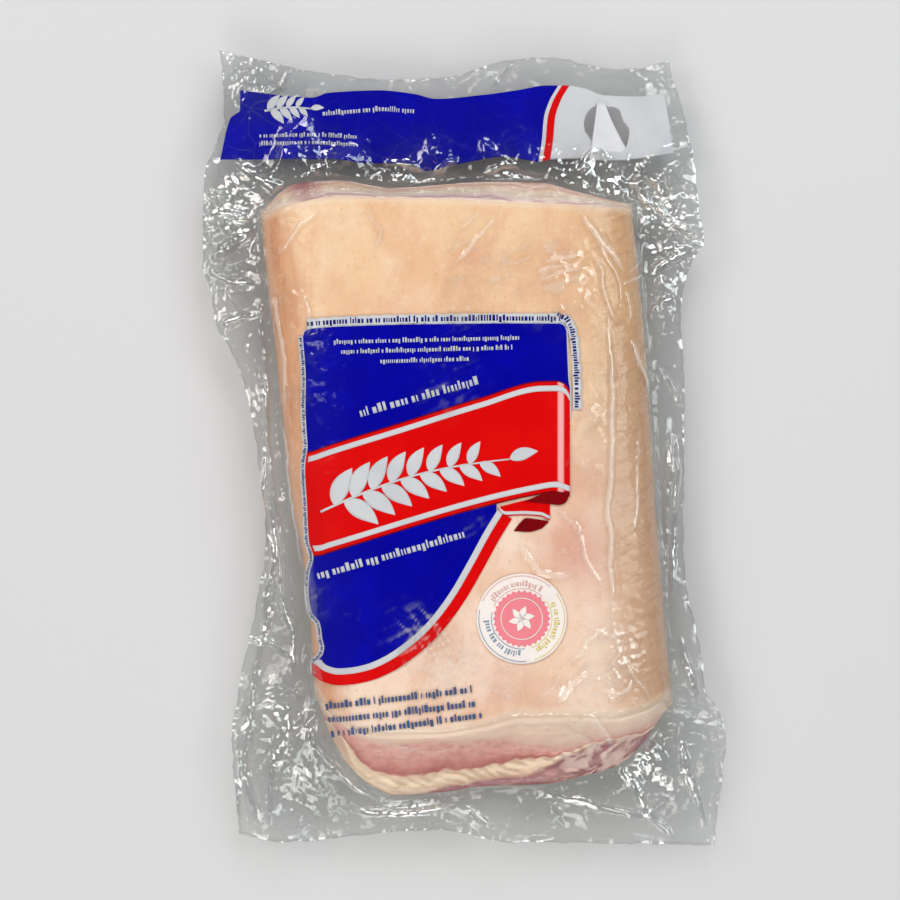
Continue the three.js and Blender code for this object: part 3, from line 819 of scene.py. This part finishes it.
# Patches of fine crinkles: x, y, radius and amount.
CRINKLED = [
    (0, 84, 10, 0.7), (3, 66, 9, 0.6), (30, 84, 10, 0.5), (-5, 25, 14, 0.6), (2, -30, 10, 0.5),
    (-18, -76, 14, 1.0), (-6, -88, 12, 0.8), (-2, 57, 10, 0.6), (22, 76, 12, 0.6), (44, 74, 10, 0.5),
    (36, 61, 14, 0.7), (52, 10, 9, 0.7), (47, -8, 8, 0.5), (60, -86, 13, 0.9), (48, -106, 14, 0.8),
    (20, -100, 14, 0.6), (30, -60, 9, 0.4), (-73, 62, 8, 0.5), (-70, 20, 8, 0.5), (-60, -62, 8, 0.5),
    (-60, 40, 10, 0.3), (10, 68, 9, 0.4),
]


def crinkle(x, y):
    """How crinkled the film over the roll is."""
    return patches(x, y, 0.08, CRINKLED)


def painted_white_sheen(x, y):
    """Painted white highlights over the crinkled patches, 0 to 1, drawn out along a slant: soft streaks of
    painted sheen.
    """
    along, aside = 0.9 * x + 0.43 * y, 0.9 * y - 0.43 * x
    strokes = noise(along / 4.5, aside, 1.5, 47) + 0.5 * noise(aside / 3, along, 1.7, 48)
    return smooth(2.6 * strokes - 0.5) * smooth(1.3 * crinkle(x, y) - 0.15)


def front_film(x, y):
    """The front film lies on the roll, bridges the corner beside it, and joins the margin. Over the roll
    it carries its pleats, its crinkles and a shallow unevenness."""
    high = margin(x, y) + film_gap(x, y) + bridge(x, y)
    over = roll_form(x, y)[0]
    at = wander(x, y)
    raised = sum(fold(*at, *one) for one in PLEATS) + 0.14 * (noise(x, y, 12, 41) + 1)
    bent_x, bent_y = x + 1.5 * noise(x, y, 8, 43), y + 1.5 * noise(x, y, 8, 44)
    turned_x, turned_y = 0.8 * bent_x - 0.6 * bent_y, 0.8 * bent_y + 0.6 * bent_x
    fine = creased(bent_x, bent_y, 4.4, 45) + 0.6 * creased(turned_x, turned_y, 2.5, 46)
    raised = raised + 0.2 * crinkle(x, y) * (fine + 1)
    raised = raised * smooth((over - SEAM) / 5) * smooth(rim_distance(x, y) / RIM_REACH)
    return joined(high, over, 1) + raised


steep = smooth(1 - np.minimum(x - roll_left(y), roll_right(y) - x) / 8)
over_roll = np.maximum(0.5 * crinkle(x, y), 0.4 * steep) * (1 - loose)
margin_folds = creases(x, y, FOLDS) * loose
# Where the film is milky: its pleats, partly real whiteness of doubled film and partly painted highlight,
# and the painted white sheen over crinkled patches.
pleats = np.minimum(creases(x, y, PLEATS) + 0.7 * painted_white_sheen(x, y), 1) * (1 - loose)
film_front = new_piece(
    "film_front", places(x, y, front_film(x, y)), faces,
    crumple=crumple(x, y) * loose + over_roll, crease=margin_folds + rim, milky=pleats,
)
film_front.data.materials.append(film_finish("front_film", (0.945, 0.95, 0.945, 1.0)))
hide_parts("vacuum_pouch")
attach(film_front, "root")

# --------------------------------------------------------------------------------------------------
# The header: flat inks printed on the inner side of the front film, so that they are seen through its
# gloss. It has a blue field with a white sprig and small print, an arc of white and red, and a white field
# round the hang hole.

INK = 0.05  # thickness of a layer of ink
UNDERPRINT, PRINT, RIM_PRINT, OVERPRINT = 0.56, 0.46, 0.38, 0.3  # depths of the layers behind the film


def ink_finish(name, colour, worn, shine=None):
    """Ink behind film: an even colour, a little uneven in its density where it was laid down. A shine is
    a place along x, a half width and a colour: a printed highlight down the length of the field."""
    ink = Finish(name)
    at = ink.place()
    density = ink.cloud(at, 60.0, 2.0, 0.6)
    speck = ink.cloud(at, 900.0, 2.0, 0.5)
    shade = ink.mix(density.step(0.42, 0.75) * 0.6, colour, worn)
    shade = ink.mix(speck.step(0.6, 0.75) * 0.12, shade, worn)
    if shine:
        east = ink.node("ShaderNodeSeparateXYZ", {}, {"Vector": at}, "X")
        middle, width, light = shine
        shade = ink.mix((east - middle).size().step(width, width * 0.35), shade, light)
    values = {"Base Color": shade, "Roughness": 0.45, "Specular IOR Level": 0.04}
    return ink.finished(ink.node("ShaderNodeBsdfPrincipled", {}, values))


blue_ink = ink_finish("blue_ink", srgb(0, 0, 154), srgb(2, 4, 180))
red_ink = ink_finish("red_ink", srgb(222, 2, 4), srgb(232, 14, 8))
dark_red_ink = ink_finish("dark_red_ink", srgb(128, 2, 10), srgb(104, 2, 14))
white_ink = ink_finish("white_ink", srgb(212, 213, 218), srgb(196, 198, 206))
navy_ink = ink_finish("navy_ink", srgb(22, 22, 120), srgb(34, 40, 136))
slate_ink = ink_finish("slate_ink", srgb(76, 96, 142), srgb(98, 112, 152))
INKS = {"print_blue": blue_ink, "print_red": red_ink, "print_white": white_ink}


def printed(name, grids, depth, slot, finish=None, hole=None):
    """A field of ink over one or more grids of places: thin closed skins that follow the front film."""
    upper, faces, count = [], [], 0
    for x, y in grids:
        x, y, cells = sheet(x, y, hole)
        upper.append(places(x, y, 0 * x))
        faces.append(cells + count)
        count += len(x)
    upper = np.concatenate(upper)
    upper[:, 2] = front_film(upper[:, 0], upper[:, 1]) - depth
    piece = shell(name, upper, upper - (0, 0, INK), np.concatenate(faces))
    piece.data.materials.append(finish or INKS[slot])
    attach(piece, "root")


def field(columns, rows, across, along):
    """The grid of a field between two column curves x(y) and two row curves y(x)."""
    return crossings(columns, rows, lines((across, 0)), lines((along, 0)))


def level(value):
    """A curve that stays at one value."""
    return lambda t: value + 0 * t


def ribbon(x, y, low, high, cells):
    """The grid of a band along a path of points, from low to high to the left of it."""
    dx, dy = np.gradient(x), np.gradient(y)
    length = np.hypot(dx, dy)
    share = np.linspace(0, 1, cells + 1)[:, None]
    aside = low + (high - low) * share
    return x - dy / length * aside, y + dx / length * aside


def leaf(x, y, angle, length, width):
    """The grid of a pointed, slightly bent leaf from its foot at x, y, along t from 0 to 1; its half width
    is width / 2 sin(pi t^0.8)^0.9."""
    t = np.linspace(0, 1, 15)
    half = 0.5 * width * np.sin(np.pi * t**0.8) ** 0.9
    bend = 0.06 * length * np.sin(np.pi * t)
    along = t * length
    px = x + along * np.cos(angle) - bend * np.sin(angle)
    py = y + along * np.sin(angle) + bend * np.cos(angle)
    return ribbon(px, py, -half, half, 6)


def sprig(x, y, angle, length, pairs, leaf_length, leaf_width, spread=0.85):
    """The grids of a sprig: a stem bowed by a twentieth of its length, leaves in pairs along it that get
    shorter, and one at its tip."""
    t = np.linspace(0, 1, 40)
    bow = 0.05 * length * np.sin(np.pi * t)
    stem_x = x + t * length * np.cos(angle) - bow * np.sin(angle)
    stem_y = y + t * length * np.sin(angle) + bow * np.cos(angle)
    grids = [ribbon(stem_x, stem_y, -0.5 + 0.2 * t, 0.5 - 0.2 * t, 2)]
    for i in range(pairs):
        k = int(39 * (0.08 + 0.84 * i / pairs))
        size = 1 - 0.45 * i / pairs
        for foot, turn in ((k, spread), (k + 2, -spread)):
            at = stem_x[foot], stem_y[foot]
            grids.append(leaf(*at, angle + turn, leaf_length * size, leaf_width * size))
    grids.append(leaf(stem_x[-1], stem_y[-1], angle, 0.7 * leaf_length, 0.7 * leaf_width))
    return grids


def small_print(path, height, seed):
    """The grids of little blocks that stand for a line of small print along a path: widths of a sixth to
    half of the height, narrow gaps, wider ones now and then, and some blocks taller or lower."""
    path = np.array(path, float)
    run = np.concatenate([[0], np.cumsum(np.hypot(*np.diff(path, axis=0).T))])
    rng = np.random.default_rng(seed)
    width = height * rng.uniform(0.16, 0.46, 500)
    gap = np.where(rng.random(500) < 0.17, 0.5, 0.19) * height
    right = np.cumsum(width + gap) - gap
    kind = rng.random(500)
    tops = height * np.where(kind < 0.24, 1.0, 0.7)
    feet = height * np.where(kind > 0.9, -0.22, 0.0)
    grids = []
    for end, w, foot, top in zip(right, width, feet, tops):
        if end > run[-1]:
            break
        s = np.array([end - w, end])
        grids.append(ribbon(np.interp(s, run, path[:, 0]), np.interp(s, run, path[:, 1]), foot, top, 1))
    return grids


def print_rows(*rows):
    """The grids of several lines of small print, each given as its path, height and seed."""
    return [grid for row in rows for grid in small_print(*row)]


header_left = through([[118.5, -100.2], [135.5, -96], [139, -92], [147, -92]])
header_arc = through([[117, 30.5], [126.5, 32], [135.5, 32.8], [142.5, 35], [149.5, 39]])
header_right = through([[120, 86.5], [147, 82.3]])
header_top = through([
    [-92, 147], [-62.5, 144], [-55.5, 146], [-34.5, 147], [-20.5, 145.5], [-11.5, 143.5], [7, 145],
    [21.5, 147], [34.5, 149], [42, 149], [49, 148], [57.5, 145], [72, 144.5], [82.5, 146],
])
header_bottom = through([
    [-101, 118.5], [-55, 118.5], [-40.5, 117], [-23, 117], [-15, 113.8], [-3, 116.5], [17, 119.5],
    [31.5, 117.5], [35.5, 118.5], [54.5, 119], [65, 118.5], [86, 121],
])
header = [header_bottom, header_top]
WHITE_LINE, RED_LINE = 1.6, 3.0
red_start = shifted(header_arc, WHITE_LINE)
red_end = shifted(header_arc, WHITE_LINE + RED_LINE)
printed("header_blue", [field([header_left, header_arc], header, 190, 44)], PRINT, "print_blue")
printed("header_white_line", [field([header_arc, red_start], header, 4, 44)], PRINT, "print_white")
printed("header_red_line", [field([red_start, red_end], header, 6, 44)], PRINT, "print_red")
header_white = field([red_end, header_right], header, 84, 44)
printed("header_white", [header_white], PRINT, "print_white", hole=HANG_HOLE)
printed("header_sprig", sprig(-82, 138.5, 0.05, 19, 4, 8.0, 3.4), OVERPRINT, "print_white")
header_text = print_rows(
    ([[-58, 136.5], [-34, 138.5], [-20, 137.5]], 2.2, 51),
    ([[-84, 127.5], [-60, 128], [-44, 127]], 1.9, 52),
    ([[-84, 124.3], [-60, 124.8], [-44, 123.8]], 1.9, 53),
)
printed("header_small_print", header_text, OVERPRINT, "print_white")

# A pleat of the printed white film runs across the middle of the hang hole, wider downwards. Above and
# below the hole it lies flat with the rest, with one sharp edge on its left.
PLEAT_X, PLEAT_Y = 54.6, 140.5  # its left edge at the hole's upper side
PLEAT_LENGTH, PLEAT_LEAN = 17.5, 2.4  # down across the hole, and to the left on the way
PLEAT_WIDTH, PLEAT_SPREAD = 3.9, 10.6  # its width at the top, and how much wider it is at the bottom
PLEAT_RISE, PLEAT_THICKNESS = 0.5, 0.12
across = np.linspace(0, 1, 13)[None, :]
down = np.linspace(-0.12, 1.28, 40)[:, None]
y = PLEAT_Y - PLEAT_LENGTH * down + 0 * across
x = PLEAT_X - PLEAT_LEAN * down + across * (PLEAT_WIDTH + PLEAT_SPREAD * np.clip(down, 0, 1.1) ** 1.15)
in_hole = smooth((HANG_HOLE[2] + 1.2 - np.hypot(x - HANG_HOLE[0], y - HANG_HOLE[1])) / 3)
z = front_film(x, y) - PRINT + INK + 0.01 + PLEAT_RISE * (in_hole + (1 - across) ** 3)
lower = places(x, y, z - PLEAT_THICKNESS)
header_pleat = shell("header_pleat", places(x, y, z), lower, quads(*x.shape)[:, ::-1])
header_pleat.data.materials.append(white_ink)
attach(header_pleat, "root")

# --------------------------------------------------------------------------------------------------
# The front label: a blue field with rounded upper corners and a white edge with small print on it, a red
# band that rises to the right across it with a white line along both its edges and a white sprig, and a
# blue field below the band, cut off by a sweep of white and red.

label_left = through([
    [-93, -61.1], [-88.6, -61.1], [-87.5, -60.9], [-86.3, -59.4], [-84.2, -57.7], [-81.2, -57.1],
    [-77.9, -57.9], [-73.7, -58.4], [-70.8, -59.2], [-67.9, -61.9], [-64.5, -63], [-57.8, -63.6],
    [-51.5, -63.2], [-44.8, -61.5], [-37.7, -63.4], [-21, -64.2], [-9, -64.9], [-4.1, -64.5],
    [0.5, -63.8], [6.4, -64.2], [16.9, -64.7], [27.3, -64.5], [45.3, -65.7],
])
label_right = through([[-23, 42.8], [-16, 43], [24, 43], [27, 42.5], [50.5, 41.5]])
label_top = through([[-65, 48.4], [-50, 49.4], [-20, 50.2], [20, 50.6], [41.5, 50.6]])
band_top = through([
    [-65, -2.2], [-62, -1.6], [-55, 0.8], [-26, 9.8], [6.5, 20], [31.5, 26.8], [38, 26.9], [41.5, 25.4],
    [43.1, 22.5],
])
band_bottom = through([[-62, -43.8], [-59, -43.6], [-55, -42.3], [30, -18.6], [37, -17.6], [43.2, -19.4]])
label_sides = [label_left, label_right]
CORNER = 3.0  # radius of the label's upper corners


def rounded_top(x):
    """The label's top edge, turned down at both ends on a quarter circle."""
    from_end = np.minimum(x - label_left(47), label_right(50) - x)
    short = np.clip(CORNER - from_end, 0, CORNER)
    return label_top(x) - (CORNER - np.sqrt(np.maximum(CORNER**2 - short**2, 0)))


# The white edge carries small print along the label's top and its left side, and on a strip of its own
# beside the right side.
edge_y = np.linspace(-92.5, 45.5, 200)
edge_x = np.linspace(-64, 39, 150)
left_edge = np.stack([label_left(edge_y), edge_y], 1)
top_edge = np.stack([edge_x, label_top(edge_x)], 1)
wavy = 2.1 + 0.12 * np.sin(edge_y * 1.9) * np.sin(edge_y * 0.7)
white_edge = [ribbon(left_edge[:, 0], left_edge[:, 1], -0.4, wavy, 3)]
wavy = 4.1 + 0.3 * np.sin(edge_x * 1.9) * np.sin(edge_x * 0.7)
white_edge.append(ribbon(top_edge[:, 0], top_edge[:, 1], -0.4, wavy, 5))
EDGE = 0.6  # how far white shows past the blue field at its right
edge_sides = [label_left, shifted(label_right, EDGE)]
white_edge.append(field(edge_sides, [level(12), shifted(rounded_top, EDGE)], 150, 50))
corner_strip = np.array([[40, 54.5], [43, 53], [45, 50], [46.3, 44], [47, 36], [47.4, 26], [47.4, 15.5]])
t = np.linspace(0, 6, 60)
strip_x, strip_y = (np.interp(t, np.arange(7), corner_strip[:, i]) for i in (0, 1))
white_edge.append(ribbon(strip_x, strip_y, -3.2, 0.4 + 0.25 * np.sin(t * 9), 4))
printed("label_white_edge", white_edge, UNDERPRINT, "print_white")
edge_text = print_rows(
    (left_edge + (-0.5, 0), 1.3, 54),
    (top_edge + (0, 1.1), 2.5, 55),
    (np.stack([strip_x, strip_y], 1) + (-2.4, -0.6), 2.1, 56),
)
printed("edge_small_print", edge_text, PRINT, "print_blue", navy_ink)

printed("label_blue_upper", [field(label_sides, [band_top, rounded_top], 150, 70)], PRINT, "print_blue")
band_ink = ink_finish("band_ink", srgb(222, 2, 4), srgb(232, 14, 8), (0.0393, 0.0017, srgb(250, 178, 178)))
red_band = field(label_sides, [band_bottom, band_top], 150, 62)
printed("label_red_band", [red_band], PRINT, "print_red", band_ink)
RIM = 0.45  # width of the dark rims along both edges of the band
rims = [field(label_sides, [band_top, shifted(band_top, RIM)], 150, 1)]
rims += [field(label_sides, [shifted(band_bottom, -RIM), band_bottom], 150, 1)]
printed("band_rims", rims, RIM_PRINT, "print_red", dark_red_ink)
line_sides = [shifted(label_left, 1.0), label_right]
band_lines = [field(line_sides, [shifted(band_top, -3.8), shifted(band_top, -1.5)], 150, 4)]
band_lines += [field(line_sides, [shifted(band_bottom, 1.6), shifted(band_bottom, 3.9)], 150, 4)]
printed("band_lines", band_lines, OVERPRINT, "print_white")
printed("band_sprig", sprig(-58.5, -26, 0.272, 80, 8, 17.0, 7.4), OVERPRINT, "print_white")

sweep = through([
    [-62, -85.4], [-59.4, -86.3], [-55.8, -88.8], [-51.3, -89.8], [-46.3, -89.4], [-39.5, -87.9],
    [-32.8, -85], [-25.7, -80.4], [-19, -74.9], [-12.8, -68.3], [-5.7, -58.6], [1.6, -46], [8.6, -33.2],
    [14, -24.5],
])
blue_lower = field([label_left, level(13.2)], [sweep, band_bottom], 100, 60)
printed("label_blue_lower", [blue_lower], PRINT, "print_blue")
t = np.linspace(-61.3, 13.6, 160)
printed("sweep_white", [ribbon(t, sweep(t), -2.6, 0.3, 5)], UNDERPRINT, "print_white")
printed("sweep_red", [ribbon(t, sweep(t), -6.9, -2.6, 7)], UNDERPRINT, "print_red")
label_text = print_rows(
    ([[-53, 42.3], [23, 44.0]], 2.0, 57), ([[-50, 38.3], [20, 40.0]], 2.0, 58),
    ([[-34, 34.4], [2, 35.4]], 2.0, 59), ([[-42, 12.6], [9, 26.8]], 3.6, 60),
    ([[-59.5, -53.5], [1.5, -36]], 3.4, 61),
)
printed("label_small_print", label_text, OVERPRINT, "print_white")

# The band turns over at its right end: its dark inner side shows below it, and a short tail beneath.
tail_top = through([[13.8, -24], [35.5, -18.5]])
tail_bottom = through([[13.8, -24.4], [15, -26.6], [17, -27.6], [24, -27.4], [31, -27.8], [34.8, -29.4]])
tail_sides = [level(13.9), level(34.9)]
printed("band_tail", [field(tail_sides, [tail_bottom, tail_top], 34, 12)], UNDERPRINT, "print_red")
tail_line = [field(tail_sides, [shifted(tail_bottom, 0.5), shifted(tail_bottom, 1.8)], 34, 3)]
printed("tail_line", tail_line, PRINT, "print_white")
turn_top = through([[24.5, -21.6], [35, -18.1], [42.8, -17.8]])
turn_bottom = through([[24.5, -21.9], [35, -22.8], [38.4, -23.2], [41.2, -22.3], [42.8, -19.4]])
turn = [field([level(24.5), level(42.8)], [turn_bottom, turn_top], 34, 9)]
printed("band_turn", turn, RIM_PRINT, "print_red", dark_red_ink)
curl_top = through([[20.2, -33.6], [23.3, -29.8], [25, -28.5], [34.2, -29.6]])
curl_bottom = through([[20.2, -33.8], [26, -34.1], [31, -32.9], [34.2, -30.4]])
curl = [field([level(20.2), level(34.2)], [curl_bottom, curl_top], 26, 8)]
printed("tail_curl", curl, UNDERPRINT, "print_red", dark_red_ink)

# --------------------------------------------------------------------------------------------------
# The notice: three lines of small print, low on the left. They are printed in slate blue straight on the
# clear film, with no field behind them.

notice = print_rows(
    ([[-56.5, -106.6], [4.5, -99.2]], 3.0, 62), ([[-55.5, -112.3], [5, -105]], 3.0, 63),
    ([[-54.5, -118.2], [8, -109.6]], 3.0, 64),
)
printed("notice", notice, PRINT, "print_blue", slate_ink)

# --------------------------------------------------------------------------------------------------
# The round badge, printed on the film like the label: a scalloped pink disc with a white flower on it, on a
# white disc with arcs of small print in three pale colours.

BADGE_X, BADGE_Y = 23.4, -69.4


def disc(radius, cells, scallop=0.0, count=0):
    """The grid of a disc: a square's rows and columns bent to its circle by x sqrt(1 - y^2/2), and a
    scalloped edge if there is one."""
    s = np.linspace(-1, 1, cells + 1)
    u, v = np.meshgrid(s, s)
    px, py = u * np.sqrt(1 - v**2 / 2), v * np.sqrt(1 - u**2 / 2)
    out = radius * (1 + scallop * np.cos(count * np.arctan2(py, px)) * np.hypot(px, py) ** 6)
    return BADGE_X + px * out, BADGE_Y + py * out


def arc(radius, start, end, points=40):
    """Points along a circle round the badge's middle, between two angles in degrees."""
    a = np.radians(np.linspace(start, end, points))
    return BADGE_X + radius * np.cos(a), BADGE_Y + radius * np.sin(a)


shell_white = ink_finish("shell_white_ink", srgb(250, 240, 236), srgb(244, 230, 224))
pink_ink = ink_finish("pink_ink", srgb(244, 138, 150), srgb(246, 160, 168))
salmon_ink = ink_finish("salmon_ink", srgb(236, 188, 180), srgb(240, 204, 196))
grey_ink = ink_finish("grey_blue_ink", srgb(150, 166, 192), srgb(172, 184, 204))
mustard_ink = ink_finish("mustard_ink", srgb(234, 216, 128), srgb(240, 226, 160))
printed("badge_disc", [disc(18.4, 60)], UNDERPRINT, "print_white", shell_white)
printed("badge_middle", [disc(11.2, 90, 0.035, 30)], PRINT, "print_red", pink_ink)
petals = [leaf(BADGE_X, BADGE_Y, a, 5.4, 2.8) for a in np.arange(6) * np.pi / 3 + 0.2]
petals += [ribbon(*arc(8.4, 0, 360, 120), -0.2, 0.2, 1)]
printed("badge_flower", petals, OVERPRINT, "print_white", shell_white)
# Each arc is a line of small print between two thin lines. It starts at an angle, and turns right.
for name, start, seed, ink, slot in (
    ("badge_salmon", 148, 71, salmon_ink, "print_red"),
    ("badge_grey", 268, 72, grey_ink, "print_blue"),
    ("badge_mustard", 28, 73, mustard_ink, "print_white"),
):
    print_arc = small_print(np.stack(arc(13.3, start, start - 94), 1), 2.3, seed)
    rims = [ribbon(*arc(radius, start + 8, start - 100), -0.17, 0.17, 1) for radius in (12.3, 17.4)]
    printed(name, print_arc + rims, PRINT, slot, ink)

# --------------------------------------------------------------------------------------------------
# The studio: a pale matt floor that the pack lies on, square soft lights on all sides, and the camera
# straight above. Lengths are metres here.

SPAN = 6.0
corners = [(-SPAN, -SPAN, 0), (SPAN, -SPAN, 0), (SPAN, SPAN, 0), (-SPAN, SPAN, 0)]
floor_mesh = bpy.data.meshes.new("studio_floor")
floor_mesh.from_pydata(corners, [], [(0, 1, 2, 3)])
studio_floor = bpy.data.objects.new("studio_floor", floor_mesh)
bpy.context.scene.collection.objects.link(studio_floor)
ground = Finish("studio_floor")
tone = ground.mix(ground.cloud(ground.place(), 3.0) * 0.3, (0.62, 0.62, 0.63, 1), (0.66, 0.66, 0.67, 1))
values = {"Base Color": tone, "Roughness": 0.8}
floor_mesh.materials.append(ground.finished(ground.node("ShaderNodeBsdfPrincipled", {}, values)))

world = bpy.data.worlds.new("studio")
bpy.context.scene.world = world
world.use_nodes = True
world.node_tree.nodes["Background"].inputs["Color"].default_value = (0.95, 0.97, 1.0, 1)
world.node_tree.nodes["Background"].inputs["Strength"].default_value = 0.18


def softbox(name, place, size, power, tint):
    """A square area light that faces the object."""
    light = bpy.data.lights.new(name, "AREA")
    light.shape, light.size, light.energy, light.color = "SQUARE", size, power, tint
    lamp = bpy.data.objects.new(name, light)
    bpy.context.scene.collection.objects.link(lamp)
    x, y, z = place
    lamp.location = place
    lamp.rotation_euler = (0, math.atan2(math.hypot(x, y), z), math.atan2(y, x))


for name, place, size, power, tint in (
    ("softbox_left", (-0.95, 0.4, 1.0), 0.6, 6.5, (1.0, 0.95, 0.9)),
    ("softbox_right", (1.0, 0.25, 0.95), 0.55, 5.0, (0.92, 1.0, 0.98)),
    ("softbox_head", (0.15, 1.1, 0.95), 0.55, 7.5, (1.0, 0.98, 1.0)),
    ("softbox_foot", (-0.2, -1.1, 0.9), 0.7, 7.8, (1.0, 0.97, 0.95)),
    ("softbox_head_left", (-0.8, 0.95, 1.2), 0.35, 1.8, (1.0, 0.88, 0.8)),
    ("softbox_head_right", (0.85, 0.9, 1.1), 0.35, 1.8, (0.84, 0.95, 1.0)),
    ("softbox_foot_right", (0.85, -0.85, 1.1), 0.35, 1.8, (1.0, 0.9, 0.82)),
    ("softbox_foot_left", (-0.8, -0.7, 1.1), 0.35, 1.8, (0.86, 1.0, 0.94)),
):
    softbox(name, place, size, power, tint)

CAMERA_HEIGHT = 2.4
AIM_X, AIM_Y = -0.00574, -0.00082  # the middle of the picture
FRAMED, MIDDLE = 0.369, 0.02  # width of the picture at the height of the pouch's middle, and that height
SENSOR = 36.0
camera = bpy.data.objects.new("camera", bpy.data.cameras.new("camera"))
bpy.context.scene.collection.objects.link(camera)
camera.location = (AIM_X, AIM_Y, CAMERA_HEIGHT)
camera.data.sensor_width = SENSOR
camera.data.lens = SENSOR * (CAMERA_HEIGHT - MIDDLE) / FRAMED
bpy.context.scene.camera = camera
bpy.context.scene.view_settings.view_transform = "Standard"
